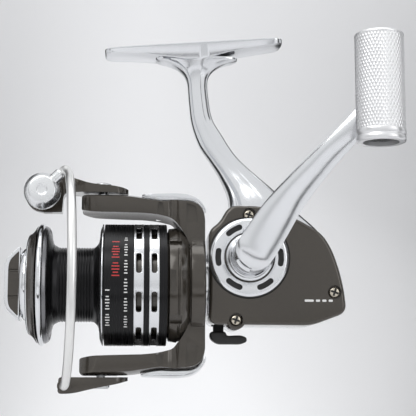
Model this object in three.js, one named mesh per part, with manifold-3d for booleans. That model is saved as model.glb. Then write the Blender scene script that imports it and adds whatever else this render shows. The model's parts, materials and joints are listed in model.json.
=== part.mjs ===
// A small front-drag spinning reel, as it hangs under a rod: +X to the rear, +Z up to the rod,
// -Y the handle side. The origin is the middle of the foot's seat. All sizes are millimetres.
import * as THREE from 'three';
import { mergeVertices } from 'three/addons/utils/BufferGeometryUtils.js';
import Module from 'manifold-3d';

const wasm = await Module();
wasm.setup();

// Driving dimensions
const axisDrop = 82.6; // seat of the foot down to the spool axis
const footTilt = THREE.MathUtils.degToRad(4.5); // the rear of the foot is the higher end
const foot = { length: 61, width: 14.5, tip: 2.1, root: 6.2 };
const gap = 0.35; // running clearance between neighbouring pieces
const handle = { x: 17.9, z: 8.2, face: -12.6, length: 54.1, angle: THREE.MathUtils.degToRad(50.9) };
const housing = { front: 4.7, split: -0.8, far: 12, wall: 1.8 };
const shaftRadius = 1.6;
const pinion = { radius: 3.1, bore: shaftRadius + gap, teeth: 10 };
const drive = { radius: 10.5, tube: 4.3, teeth: 52, smallTeeth: 12, smallRadius: 3.9 };
const crank = { x: 27.7, z: -1.1, radius: 9, teeth: 27, throw: 4.5 };
const snout = { radius: 10.2, front: -4.4 };
const rotor = { armOuter: 30.2, armInner: 25.1, armWidth: 18.4, tip: -37.4 };
const pivot = { x: -30.5, height: 31 };
const roller = { x: -50.2, z: 30.3, radius: 3.9, cap: 6.1 };
const wire = { radius: 1.45, bulge: 41, top: 35.6, bottom: 33.5 };
const skirt = { radius: 20.4, wall: 1.5, front: -30, rear: -9 };
const knob = { radius: 7.4, length: 33.3, y: -57, forward: 1, lift: 4.4 };

// Materials, one maker for each finish
const finish = (color, roughness, metalness) => new THREE.MeshStandardMaterial({ color, roughness, metalness });
const polished = () => finish(0xc9cbd0, 0.2, 1);
const chrome = () => finish(0xe4e6ea, 0.08, 1);
const bronzePlastic = () => finish(0x39332f, 0.3, 0.4);
const blackPlastic = () => finish(0x161616, 0.45, 0);
const blackAnodised = () => finish(0x1c1c1e, 0.35, 0.8);
const steel = () => finish(0x9a9da1, 0.35, 1);
const brass = () => finish(0xb8934f, 0.35, 1);
const zinc = () => finish(0x8f9296, 0.5, 1);
const knurled = () => finish(0xd8dadd, 0.4, 1);
const felt = () => finish(0x8a7f70, 0.95, 0);

// Solids. Every piece is made from three.js geometry and is joined or cut as a manifold.
function solid(geometry) {
  const bare = geometry.clone();
  bare.deleteAttribute('normal');
  bare.deleteAttribute('uv');
  const merged = mergeVertices(bare, 1e-4);
  const vertProperties = new Float32Array(merged.attributes.position.array);
  const faces = [];
  const corner = (i) => new THREE.Vector3().fromArray(vertProperties, i * 3);
  let volume = 0;
  for (let i = 0; i < merged.index.count; i += 3) {
    const [a, b, c] = [merged.index.getX(i), merged.index.getX(i + 1), merged.index.getX(i + 2)];
    if (a === b || b === c || c === a) continue;
    faces.push(a, b, c);
    volume += corner(a).dot(corner(b).cross(corner(c)));
  }
  if (volume < 0) faces.reverse();
  return new wasm.Manifold(new wasm.Mesh({ numProp: 3, vertProperties, triVerts: new Uint32Array(faces) }));
}

function geometryOf(manifold) {
  const { vertProperties, triVerts } = manifold.getMesh();
  const geometry = new THREE.BufferGeometry();
  geometry.setAttribute('position', new THREE.BufferAttribute(new Float32Array(vertProperties), 3));
  geometry.setIndex(new THREE.BufferAttribute(new Uint32Array(triVerts), 1));
  geometry.computeVertexNormals();
  return geometry;
}

const join = (...pieces) => pieces.reduce((whole, piece) => whole.add(piece));
const cut = (piece, ...tools) => tools.reduce((rest, tool) => rest.subtract(tool), piece);

function mesh(parent, name, piece, material) {
  const made = new THREE.Mesh(geometryOf(piece), material);
  made.name = name;
  parent.add(made);
  return made;
}

// The turn that carries a shape's own axes to the piece's: a shape is drawn in the two axes that
// are left over, in the order x, y, z, and is pushed along the named axis.
const X = new THREE.Vector3(1, 0, 0);
const Y = new THREE.Vector3(0, 1, 0);
const Z = new THREE.Vector3(0, 0, 1);
const turns = {
  x: new THREE.Matrix4().makeBasis(Y, Z, X),
  y: new THREE.Matrix4().makeBasis(X, Z, Y.clone().negate()),
  z: new THREE.Matrix4(),
};

// A flat shape pushed from one level to another along an axis
function slab(shape, axis, from, to, bevel = 0) {
  const options = { depth: to - from - 2 * bevel, curveSegments: 2, bevelEnabled: bevel > 0 };
  Object.assign(options, { bevelSize: bevel, bevelThickness: bevel, bevelOffset: -bevel, bevelSegments: 1 });
  const geometry = new THREE.ExtrudeGeometry(shape, options);
  geometry.translate(0, 0, bevel).applyMatrix4(turns[axis]);
  const base = axis === 'y' ? to : from;
  geometry.translate(axis === 'x' ? base : 0, axis === 'y' ? base : 0, axis === 'z' ? base : 0);
  return solid(geometry);
}

// A closed polygon with its corners rounded; a corner is [a, b] or [a, b, its own radius]
function outline(corners, radius = 0) {
  const points = corners.map(([a, b]) => new THREE.Vector2(a, b));
  const shape = new THREE.Shape();
  points.forEach((point, i) => {
    const before = points[(i + points.length - 1) % points.length];
    const after = points[(i + 1) % points.length];
    const wanted = corners[i][2] ?? radius;
    const reach = Math.min(wanted, before.distanceTo(point) * 0.49, after.distanceTo(point) * 0.49);
    const start = point.clone().add(before.clone().sub(point).setLength(reach));
    const end = point.clone().add(after.clone().sub(point).setLength(reach));
    if (i === 0) shape.moveTo(start.x, start.y);
    else shape.lineTo(start.x, start.y);
    if (wanted > 0) shape.quadraticCurveTo(point.x, point.y, end.x, end.y);
  });
  return shape;
}

// The same polygon drawn in by a wall's thickness; its corners run anticlockwise
function inset(corners, wall) {
  return corners.map(([a, b], i) => {
    const point = new THREE.Vector2(a, b);
    const before = new THREE.Vector2(...corners[(i + corners.length - 1) % corners.length]);
    const after = new THREE.Vector2(...corners[(i + 1) % corners.length]);
    const inward = (from, to) => to.clone().sub(from).normalize().rotateAround(new THREE.Vector2(), Math.PI / 2);
    const first = inward(before, point);
    const second = inward(point, after);
    const move = first.clone().add(second).setLength(wall / Math.cos(first.angleTo(second) / 2));
    return [point.x + move.x, point.y + move.y];
  });
}

// A regular polygon, which is a round disc or bore when it has many sides
function circle(path, a, b, radius, sides = 24) {
  for (let i = 0; i < sides; i += 1) {
    const angle = (2 * Math.PI * i) / sides;
    const point = [a + radius * Math.cos(angle), b + radius * Math.sin(angle)];
    if (i === 0) path.moveTo(...point);
    else path.lineTo(...point);
  }
  return path;
}
const disc = (a, b, radius, sides) => circle(new THREE.Shape(), a, b, radius, sides);
const hole = (radius, sides) => circle(new THREE.Path(), 0, 0, radius, sides);

// A turned piece: its profile is a list of [place along the axis, radius]
function turned(profile, axis, segments = 24) {
  const points = profile.map(([along, radius]) => new THREE.Vector2(radius, along));
  const geometry = new THREE.LatheGeometry(points, segments);
  if (axis === 'x') geometry.rotateZ(-Math.PI / 2);
  if (axis === 'z') geometry.rotateX(Math.PI / 2);
  return solid(geometry);
}

function rod(axis, from, to, radius, segments = 12) {
  return turned([[from, 0], [from, radius], [to, radius], [to, 0]], axis, segments);
}

function ring(axis, from, to, outer, inner, segments = 20) {
  return turned([[from, inner], [from, outer], [to, outer], [to, inner], [from, inner]], axis, segments);
}

const box = (from, to) => solid(new THREE.BoxGeometry(to[0] - from[0], to[1] - from[1], to[2] - from[2])
  .translate((from[0] + to[0]) / 2, (from[1] + to[1]) / 2, (from[2] + to[2]) / 2));

// A gear's outline with plain pointed teeth
function gearShape(teeth, outer, depth) {
  const shape = new THREE.Shape();
  const step = (2 * Math.PI) / teeth;
  for (let i = 0; i < teeth; i += 1) {
    const corners = [[0, outer - depth], [0.5, outer]];
    corners.forEach(([part, radius], j) => {
      const angle = (i + part) * step;
      const [a, b] = [radius * Math.cos(angle), radius * Math.sin(angle)];
      if (i === 0 && j === 0) shape.moveTo(a, b);
      else shape.lineTo(a, b);
    });
  }
  return shape;
}

// A round bar bent along a curve
function bar(curve, radius, steps, sides = 8) {
  const path = { steps, extrudePath: curve, bevelEnabled: false };
  return solid(new THREE.ExtrudeGeometry(disc(0, 0, radius, sides), path));
}

const reel = new THREE.Group(); // z = 0 is the spool axis
reel.position.z = -axisDrop;
const handleGroup = new THREE.Group();
handleGroup.position.set(handle.x, 0, handle.z);
const armGroup = new THREE.Group(); // its +X runs along the handle arm
armGroup.rotation.y = -handle.angle;
handleGroup.add(armGroup);
const bailGroup = new THREE.Group();
bailGroup.position.set(pivot.x, 0, 0);
reel.add(handleGroup, bailGroup);

// The housing's side outline, anticlockwise, in x and z
const housingCorners = [
  [housing.front, -13.6], [38.4, -13.9], [50, -9.6], [49.2, -1.9], [47.6, 5], [45.4, 11.3], [42.1, 16.6],
  [34.2, 21.2], [22.6, 25.5], [11.4, 25.7], [8.2, 20], [housing.front, 17.3],
];
const screwPlaces = [[17.9, 22.4], [46, -3], [13.5, -12.2]];

// Foot, stem and the far half of the housing are one casting
function footSolid() {
  const half = foot.length / 2;
  const side = outline([
    [-half, 0], [-half, -foot.tip], [-15, -4.4], [-7, -foot.root], [8, -foot.root], [22, -3.3],
    [half, -foot.tip - 0.2], [half, 0],
  ], 0.8);
  const plan = outline([
    [-half, -4.5], [-half + 4, -foot.width / 2 + 0.6], [0, -foot.width / 2], [half - 5, -foot.width / 2 + 0.8],
    [half, -4], [half, 4], [half - 5, foot.width / 2 - 0.8], [0, foot.width / 2],
    [-half + 4, foot.width / 2 - 0.6], [-half, 4.5],
  ], 4);
  const section = outline([
    [-7.3, 0], [-7.3, -1.9], [-4, -foot.root], [4, -foot.root], [7.3, -1.9], [7.3, 0],
  ], 0);
  const whole = slab(side, 'y', -8, 8).intersect(slab(plan, 'z', -8, 1)).intersect(slab(section, 'x', -32, 32));
  return whole.rotate([0, -THREE.MathUtils.radToDeg(footTilt), 0]).translate([0, 0, axisDrop]);
}

function stemSolid() {
  const side = outline([
    [-9, 76.6], [-4.6, 74.4, 2], [-2.2, 70.6, 3], [-1.6, 64.3, 4], [-0.8, 56.9, 5], [0.4, 52.2, 4], [2.5, 47.1, 4],
    [5.5, 42.6, 4], [9, 37, 5], [12, 29.9, 5], [12.5, 22, 3], [13.5, 14], [40, 14], [44.1, 18.5, 4], [34.9, 24.9, 6],
    [26.4, 33.1, 6], [20.9, 37.9, 5], [15.4, 43.1, 4], [12.7, 46.6, 4], [9.9, 51.1, 4], [6.5, 57, 5],
    [5.1, 64.4, 5], [4.7, 70, 4], [6, 74.4, 2], [9.5, 76.8],
  ], 1);
  const widths = [
    [78, 6.6], [76, 5], [72.5, 3.9], [66, 3.4], [56, 3.4], [47, 3.9], [40, 5], [34, 6.9], [28, 9.4], [22, 11.2], [13, 11.8],
  ];
  const far = widths.map(([z, y]) => [y, z]);
  const near = widths.filter(([z]) => z >= 28).map(([z, y]) => [-y, z]);
  near.push([-10, 26.4], [0, 26.3], [0, 13]);
  near.reverse();
  return slab(side, 'y', -13, 13).intersect(slab(outline([...near, ...far], 1), 'x', -12, 50));
}

// Slot in the housing's floor for the anti-reverse lever
const leverSlot = () => box([6.2, -4.9, -20], [10.7, 4.9, -11.4]);

function frameSolid() {
  const post = ([x, z]) => rod('y', 1, housing.far - 0.6, 2.6, 20).translate([x, 0, z]);
  const ear = slab(disc(13.5, -12.2, 3.1), 'y', housing.split, housing.far - 1.2);
  let shell = join(slab(outline(housingCorners, 3), 'y', housing.split, housing.far, 1.2), ear);
  const cavity = slab(outline(inset(housingCorners, housing.wall), 1), 'y', -14, housing.far - 1.7);
  shell = cut(join(shell, stemSolid()), cavity);
  const noseRing = turned([
    [snout.front, 5.9], [snout.front, snout.radius], [housing.front + 1.6, snout.radius], [housing.front + 1.6, 5.9],
    [snout.front, 5.9],
  ], 'x');
  const bearingBoss = ring('y', 7, housing.far - 0.5, 8, 5.3).translate([handle.x, 0, handle.z]);
  const railEnds = join(
    box([12.6, housing.split, -12.4], [15, 3, -6.8]), box([43.4, housing.split, -11.6], [45.8, 3, -6.6]),
  );
  const crankPost = rod('y', 7.2, housing.far - 0.6, 3.6).translate([crank.x, 0, crank.z]);
  shell = join(shell, noseRing, bearingBoss, crankPost, railEnds, post(screwPlaces[0]), post(screwPlaces[1]), post(screwPlaces[2]));
  const tools = [
    rod('x', snout.front - 1, 0.4, 8.5),
    rod('x', 0, housing.front + 2, 5.9),
    rod('y', 6.9, 10.7, 6.6, 28).translate([handle.x, 0, handle.z]),
    rod('y', 6, housing.far + 1, 5.4, 28).translate([handle.x, 0, handle.z]),
    rod('x', 12, 46, 1.35, 16).translate([0, 0, -9]),
    leverSlot(),
    rod('y', 7, 11.3, 2.15, 16).translate([crank.x, 0, crank.z]),
    ...screwPlaces.map(([x, z]) => rod('y', -2, 8, 1.35, 16).translate([x, 0, z])),
  ];
  return join(cut(shell, ...tools), footSolid());
}

function coverSolid() {
  const face = handle.face;
  const shape = outline(housingCorners, 3);
  const near = housing.split - gap;
  let shell = join(slab(shape, 'y', face, near, 1.2), slab(disc(13.5, -12.2, 3.1), 'y', face, near));
  shell = cut(shell, slab(outline(inset(housingCorners, housing.wall), 1), 'y', face + 1.7, near + 1));
  const boss = rod('y', face + 0.4, -7.4, 8.2, 28).translate([handle.x, 0, handle.z]);
  const tools = [
    rod('x', snout.front, housing.front + 3, snout.radius + gap, 36),
    rod('y', face - 1, -7, 5, 28).translate([handle.x, 0, handle.z]),
    rod('y', -11.2, -7, 6.6, 28).translate([handle.x, 0, handle.z]),
    leverSlot(),
  ];
  const posts = screwPlaces.map(([x, z]) => rod('y', face + 0.5, near, 3, 20).translate([x, 0, z]));
  const bores = screwPlaces.map(([x, z]) => join(
    rod('y', face - 1, face + 1.9, 2.3, 24), rod('y', face, 2, 1.35, 16),
  ).translate([x, 0, z]));
  return cut(join(shell, boss, ...posts), ...tools, ...bores);
}

// Slotted trim ring round the hub, with a few kidney openings
function coverRingSolid() {
  const shape = disc(0, 0, 12.9, 32);
  shape.holes.push(hole(8.3));
  const slots = 6;
  for (let i = 0; i < slots; i += 1) {
    const middle = (i * 2 * Math.PI) / slots;
    const slot = new THREE.Path();
    slot.absarc(0, 0, 11.2, middle - 0.25, middle + 0.25, false);
    slot.absarc(0, 0, 9.4, middle + 0.25, middle - 0.25, true);
    shape.holes.push(slot);
  }
  return slab(shape, 'y', handle.face - gap - 1, handle.face - gap);
}

function screwSolid() {
  const slot = join(box([-1.2, -1, -0.25], [1.2, 0.5, 0.25]), box([-0.25, -1, -1.2], [0.25, 0.5, 1.2]));
  const head = turned([[0, 0], [0, 1.3], [0.4, 1.85], [1.5, 1.85], [1.5, 1], [14, 1], [14.5, 0.6], [14.5, 0]], 'y', 14);
  return cut(head, slot.translate([0, 0.1, 0]));
}

// A ball bearing as one ring, with the gap between its races as a groove in one face
function bearingSolid(outer, inner, from, to) {
  const quarter = (outer - inner) / 4;
  return turned([
    [from, inner], [from, inner + quarter], [from + 0.4, inner + quarter], [from + 0.4, outer - quarter],
    [from, outer - quarter], [from, outer], [to, outer], [to, inner], [from, inner],
  ], 'y', 16);
}

function addBody() {
  mesh(reel, 'body_frame', frameSolid(), polished());
  mesh(reel, 'side_cover', coverSolid(), bronzePlastic());
  mesh(reel, 'cover_ring', coverRingSolid(), chrome()).position.set(handle.x, 0, handle.z);
  screwPlaces.forEach(([x, z], i) => {
    mesh(reel, `cover_screw_${i + 1}`, screwSolid(), brass()).position.set(x, handle.face + 0.2, z);
  });
  const near = mesh(reel, 'bearing_handle_side', bearingSolid(6.3, 4.6, -10.9, -7.7), steel());
  const far = mesh(reel, 'bearing_far_side', bearingSolid(6.3, 4.6, 7.2, 10.2), steel());
  [near, far].forEach((bearing) => bearing.position.set(handle.x, 0, handle.z));
  const front = mesh(reel, 'pinion_bearing', bearingSolid(5.6, 3.45, -1.5, 1.5), steel());
  front.rotation.z = -Math.PI / 2;
  front.position.x = 3.4;
  mesh(reel, 'one_way_clutch', ring('x', -3.2, 0, 8.2, 3.5), steel());
  mesh(reel, 'clutch_retainer', ring('x', snout.front - 0.1, -3.5, 8.2, 4.2), blackPlastic());
  mesh(reel, 'guide_rod', rod('x', 12.8, 45.6, 1, 16), steel()).position.z = -9;
}

// Lever that lets the handle turn backwards, under the front of the housing
function addAntiReverse() {
  const hub = rod('x', 6.9, 10.2, 1.9);
  const stem = slab(outline([[-1.4, -9.2], [1.4, -9.2], [1.2, 0], [-1.2, 0]], 0.5), 'x', 6.8, 10.2);
  const side = outline([
    [5.6, -7.2], [10.8, -7.2], [11.2, -8.6], [16, -8.4], [17.9, -9.2], [17.9, -10.6], [16, -11.4], [8, -11.4], [5.6, -9.6],
  ], 1.2);
  const paddle = slab(side, 'y', -2.6, 2.6);
  mesh(reel, 'anti_reverse_lever', join(hub, stem, paddle), blackPlastic()).position.z = -8.3;
}

function driveGearSolid() {
  const hexagon = hole(2.6, 6);
  const tube = disc(0, 0, drive.tube);
  tube.holes.push(hexagon);
  const small = gearShape(drive.smallTeeth, drive.smallRadius + 0.9, 1.1);
  small.holes.push(hexagon);
  const wheel = gearShape(drive.teeth, drive.radius, 1.2);
  wheel.holes.push(hexagon);
  return join(slab(tube, 'y', -11.9, 11.4), slab(wheel, 'y', -6.8, -3.6), slab(small, 'y', 3.6, 6.4));
}

function armSolid() {
  const side = outline([
    [-6.2, -24.6], [-6.2, -31], [3, -33.4], [16, -36.6], [30, -42.2], [42, -46.4], [50, -48.2], [58.4, -48.2],
    [58.4, -44.2], [50, -43.8], [43, -42.2], [30, -37.6], [16, -31.8], [6.4, -28], [6.2, -24.6],
  ], 3);
  const plan = outline([
    [-6.1, 0, 6], [-5, -4.6, 4], [0, -6, 4], [10, -4.6], [20, -2.4], [35, -2.2], [48, -3.3], [54.1, -4],
    [58.2, -2.6], [58.2, 2.6], [54.1, 4], [48, 3.9], [35, 5.7], [20, 7.2], [10, 7.4], [0, 6.2, 4], [-5, 4.6, 4],
  ], 3);
  const blade = slab(side, 'z', -8, 8).intersect(slab(plan, 'y', -50, -20));
  const tongueRoom = box([-8, -30, -2.6], [4.6, -24, 2.6]);
  const pinBore = rod('z', -9, 9, 1.35, 16).translate([0, -27.2, 0]);
  const knobBore = rod('y', -50, -40, 1.75, 16).translate([handle.length, 0, 0]);
  return cut(blade, tongueRoom, pinBore, knobBore);
}

// The hub's tongue reaches into the fork of the arm's root, and the fold pin goes through both
function hubSolid() {
  const hub = turned([
    [-24.2, 0], [-24.2, 5], [-23.4, 5.9], [-18, 6.1], [-17, 6.6], [-16.3, 6.6], [-16.3, 2.4], [-20, 2.4], [-20, 0],
  ], 'y');
  const tongue = box([-4.2, -29.6, -2.25], [4.2, -24, 2.25]);
  return cut(join(hub, tongue), rod('z', -9, 9, 1.35, 16).translate([0, -27.2, 0]));
}

function knobGripSolid() {
  const half = knob.length / 2;
  const tube = turned([
    [-half, 5.4], [-half, 6.6], [-half + 0.5, knob.radius], [half - 0.5, knob.radius], [half, 6.6], [half, 5.4],
    [half - 1.6, 5.4], [half - 1.6, 0], [-half + 2.6, 0], [-half + 2.6, 5.4], [-half, 5.4],
  ], 'z');
  const bore = rod('y', -2.6, 9, 1.95, 16).translate([-knob.forward, 0, -knob.lift]);
  return cut(tube, bore);
}

function addHandle() {
  mesh(handleGroup, 'drive_gear', driveGearSolid(), zinc());
  mesh(handleGroup, 'handle_shaft', rod('y', -19.6, 15.2, 1.9, 12), steel());
  const cap = turned([
    [12.4, 2.3], [12.4, 6.2], [13, 6.8], [15.6, 6.4], [16.8, 5], [17, 3.4], [16.2, 2.8], [16.2, 0], [15.6, 0],
    [15.6, 2.3], [12.4, 2.3],
  ], 'y');
  mesh(handleGroup, 'handle_lock_cap', cap, chrome());
  mesh(handleGroup, 'hub_collar', turned([
    [-15.9, 2.4], [-15.9, 6.8], [-14.6, 7.8], [-12.95, 7.8], [-12.95, 4.2], [-12.3, 4.2],
    [-12.3, 2.4], [-15.9, 2.4],
  ], 'y'), chrome());
  mesh(armGroup, 'handle_hub', hubSolid(), chrome());
  mesh(armGroup, 'handle_arm', armSolid(), chrome());
  mesh(armGroup, 'fold_pin', rod('z', -5.6, 5.6, 1, 16), steel()).position.y = -27.2;
  const tip = new THREE.Group();
  tip.position.set(handle.length * Math.cos(handle.angle), 0, handle.length * Math.sin(handle.angle));
  handleGroup.add(tip);
  const pin = turned([
    [-56, 0], [-56, 1.4], [-43.4, 1.4], [-43.4, 3], [-42.6, 3], [-42.2, 2.4], [-42.2, 0],
  ], 'y', 14);
  mesh(tip, 'knob_pin', pin, steel());
  mesh(tip, 'knob_washer', ring('y', -49.6, -48.6, 4.6, 1.75), chrome());
  mesh(tip, 'knob_grip', knobGripSolid(), knurled()).position.set(knob.forward, knob.y, knob.lift);
  ['lower', 'upper'].forEach((side, i) => {
    const dish = turned([[0, 0], [0, 5], [0.9, 5], [0.9, 3.2], [0.6, 2], [0.6, 0]], 'z', 18);
    const cap = mesh(tip, `knob_cap_${side}`, dish, blackPlastic());
    const end = i ? knob.length / 2 - 1.2 : 2.2 - knob.length / 2;
    cap.position.set(knob.forward, knob.y, knob.lift + end);
    if (!i) cap.rotation.x = Math.PI;
  });
}

function addOscillation() {
  const wheel = gearShape(crank.teeth, crank.radius, 1.2);
  const pin = rod('y', 2.9, 4, 1.5, 16).translate([crank.throw, 0, 0]);
  const stub = rod('y', 3.6, 11, 1.8, 20);
  const gear = join(slab(wheel, 'y', 3.6, 6.4), pin, stub);
  mesh(reel, 'oscillation_gear', gear, zinc()).position.set(crank.x, 0, crank.z);
  const x = crank.x + crank.throw;
  const body = slab(outline([[x - 2.6, -11.4], [x + 2.6, -11.4], [x + 2.6, 3], [x - 2.6, 3]], 0.6), 'y', -2.5, 2.5);
  const bores = [rod('x', x - 5, x + 5, shaftRadius + gap, 20), rod('x', x - 5, x + 5, 1.35, 16).translate([0, 0, -9])];
  const slot = box([x - 1.9, 1.7, -8], [x + 1.9, 4, 2]);
  mesh(reel, 'oscillation_slider', cut(body, ...bores, slot), brass());
  mesh(reel, 'slider_screw', turned([
    [x + 2.95, shaftRadius + gap], [x + 2.95, 3], [x + 4.4, 3], [x + 4.4, shaftRadius + gap],
    [x + 2.95, shaftRadius + gap],
  ], 'x', 6), steel());
  mesh(reel, 'main_shaft', rod('x', -57.4, 38.4, shaftRadius, 20), steel());
}

// The rotor's bowl is turned, and its two arms are what is left between two flanks
function rotorSolid() {
  const { armOuter, armInner } = rotor;
  const bowl = turned([
    [rotor.tip, armInner], [rotor.tip, armOuter - 0.6], [-36.4, armOuter], [-22, armOuter], [-16.8, armOuter - 0.7],
    [-11, 28.7], [-6.5, 28.9], [-1.2, 28.8], [1.2, 27.9], [2.8, 26.4], [3.6, 23.6], [3.6, 11.4], [-0.4, 11.4], [-1.2, 15], [-2.4, 17.5], [-4.8, 21], [-8, 23.6], [-11.5, 24.5], [-16.7, 25],
    [-24.6, armInner], [rotor.tip, armInner],
  ], 'x', 28);
  const half = rotor.armWidth / 2;
  const plan = outline([
    [rotor.tip - 0.6, -5, 4], [-34, -half + 0.9, 4], [-24, -half, 6], [5, -half], [5, half], [-24, half, 6],
    [-34, half - 0.9, 4], [rotor.tip - 0.6, 5, 4],
  ]);
  const arms = bowl.intersect(slab(plan, 'z', -34, 34));
  const drum = turned([
    [-20, 16.4], [-20, 17.8], [-8.6, 17.8], [-8.6, 19.2], [-5, 19.2], [-3, 18], [-1.6, 16.2], [-1.2, 17],
    [3.1, 17], [3.6, 16.4], [3.6, 11.4], [-3.6, 11.2], [-5.6, 9.4], [-5.6, 3.6], [-9.4, 3.6], [-9.4, 16.4],
    [-20, 16.4],
  ], 'x', 28);
  const bores = [-1, 1].map((side) => rod('z', 24, 32, 1.75, 20).scale([1, 1, side]).translate([pivot.x, 0, 0]));
  const springRoom = box([-25, -3.2, 26.6], [-7, 3.2, 32]);
  const tripRoom = box([-25, -3.2, -32], [-7, 3.2, -26.8]);
  return cut(join(arms, drum), ...bores, springRoom, tripRoom);
}

function rotorCoverSolid() {
  const shell = turned([
    [-17.4, 30.1], [-17, 30.6], [-5.5, 31], [-1, 30.5], [2, 28.9], [4, 26], [4, 24.6], [3.95, 24.6], [3.2, 26.8],
    [1.6, 28.4], [-1, 29.3], [-6.5, 29.5], [-11.2, 29.3], [-17.4, 30.1],
  ], 'x', 28);
  const plan = outline([[-18, -5, 3], [-15, -6.6], [5, -6.6], [5, 6.6], [-15, 6.6], [-18, 5, 3]]);
  return shell.intersect(slab(plan, 'z', 20, 34));
}

class Helix extends THREE.Curve {
  constructor(radius, turnsCount, length) {
    super();
    Object.assign(this, { radius, turnsCount, length });
  }

  getPoint(t, target = new THREE.Vector3()) {
    const angle = t * this.turnsCount * 2 * Math.PI;
    return target.set(t * this.length, this.radius * Math.cos(angle), this.radius * Math.sin(angle));
  }
}

function addRotor() {
  const toothed = slab(gearShape(pinion.teeth, pinion.radius, 0.9), 'x', 6, 14.5);
  const stem = turned([[-13.2, 0], [-13.2, 3.2], [6.2, 3.2], [6.2, 0]], 'x', 32);
  const bore = rod('x', -14, 16, pinion.bore, 24);
  mesh(reel, 'pinion_gear', cut(join(toothed, stem), bore), brass());
  mesh(reel, 'rotor', rotorSolid(), bronzePlastic());
  mesh(reel, 'rotor_nut', cut(slab(disc(0, 0, 6, 6), 'x', -12.6, -9.8), rod('x', -14, -9, 3.55, 24)), steel());
  mesh(reel, 'rotor_cover_upper', rotorCoverSolid(), polished());
  const lower = mesh(reel, 'rotor_cover_lower', rotorCoverSolid(), polished());
  lower.rotation.x = Math.PI;
  const spring = mesh(reel, 'bail_spring', bar(new Helix(0.8, 5, 9), 0.25, 36, 4), steel());
  spring.position.set(-17.6, 0, 27.9);
  const kick = slab(outline([[-24, -1.4], [-10, -1.4], [-8.4, 0], [-10, 1.4], [-24, 1.4]], 0.6), 'z', -28.8, -27.3);
  mesh(reel, 'trip_lever', kick, blackPlastic());
  ['upper', 'lower'].forEach((end, i) => {
    const screw = turned([
      [25.9, 0], [25.9, 1.4], [32.95, 1.4], [32.95, 2.9], [34, 2.9], [34.4, 2.4], [34.4, 0],
    ], 'z', 14);
    const slot = box([-2.2, -0.3, 33.8], [2.2, 0.3, 36]);
    const placed = mesh(reel, `bail_screw_${end}`, cut(screw, slot), steel());
    placed.position.x = pivot.x;
    if (i) placed.rotation.x = Math.PI;
  });
}

// Bore and counterbore of the pivot screw, above the axis or below it
function pivotBores(side) {
  return [rod('z', 20, 40, 1.75, 16), rod('z', 32.6, 40, 3.3, 20)].map((tool) => tool.scale([1, 1, side]));
}

// The two levers of the bail, seen from outside the arm, in x and y from the pivot
function bailArmSolid() {
  const side = outline([
    [9.4, 30.6, 0.5], [-13, 30.6, 2], [-13.5, 24], [-27, 24], [-27, 37], [-13.4, 37], [-10.7, 35.8, 2], [-3.9, 33.4, 3],
    [4, 32.9, 3], [9.4, 32, 0.5],
  ]);
  const plan = outline([
    [9, 0, 2], [7, -4.8, 3], [0, -6.6, 4], [-8, -5.8, 4], [-14, -3.4, 3], [-27, -3.4], [-27, 0.8], [-14, 0.8, 3],
    [-8, 4.4, 4], [0, 6.6, 4], [7, 4.8, 3],
  ]);
  const head = slab(disc(roller.x - pivot.x, roller.z, 6.15), 'y', -3.4, 0.8, 0.5);
  const flat = slab(side, 'y', -8, 8).intersect(slab(plan, 'z', 20, 40));
  const neck = cut(flat, box([-30, -8, 20], [roller.x - pivot.x, 8, 40]));
  const bore = rod('y', -8, 4, 1.75, 20).translate([roller.x - pivot.x, 0, roller.z]);
  return cut(join(neck, head), ...pivotBores(1), bore);
}

function bailLeverSolid() {
  const side = outline([
    [9.6, -30.6, 0.5], [-13.6, -30.6, 1], [-14, -36, 1.5], [-9.2, -35.9, 2], [-1, -34, 3], [5.5, -32.8, 3], [9.6, -31.6, 0.5],
  ]);
  const plan = outline([
    [9.4, 0, 2], [7, -4.8, 3], [0, -6.6, 4], [-8, -6.4, 4], [-14, -5.6, 3], [-14, 0, 2], [-8, 4.4, 4], [0, 6.6, 4],
    [7, 4.8, 3],
  ]);
  const flat = slab(side, 'y', -8, 8).intersect(slab(plan, 'z', -40, -20));
  const socket = rod('y', -7, -0.8, 2.3, 24).translate([-11.6, 0, -33.4]);
  return cut(join(flat, socket), ...pivotBores(-1));
}

function bailWireCurve() {
  const points = [new THREE.Vector3(-13, -11.2, 36.5), new THREE.Vector3(-11.9, -12.3, 36.9)];
  const steps = 12;
  for (let i = 0; i <= steps; i += 1) {
    const angle = THREE.MathUtils.degToRad(76 - (166 * i) / steps);
    const reach = Math.cos(angle);
    const height = Math.sin(angle) * (angle > 0 ? wire.top + 0.4 : wire.bottom);
    points.push(new THREE.Vector3(-11.7 + 3.8 * reach, -7.4 - (wire.bulge - 7.4) * reach, height));
  }
  return new THREE.CatmullRomCurve3(points);
}

function rollerCapSolid() {
  const dome = turned([
    [-12.2, 0], [-12.2, 1.6], [-12.8, 2.4], [-12.2, 4], [-10.6, 5.5], [-9, roller.cap], [-7.7, roller.cap], [-7.7, 3],
    [-7.4, 1.75], [-10.4, 1.75], [-10.4, 0],
  ], 'y', 20).translate([roller.x - pivot.x, 0, roller.z]);
  const start = new THREE.Vector3(-17.6, -10, 32.4);
  const end = new THREE.Vector3(-13.7, -11, 35.8);
  return join(dome, bar(new THREE.LineCurve3(start, end), 1.9, 1, 16));
}

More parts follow.
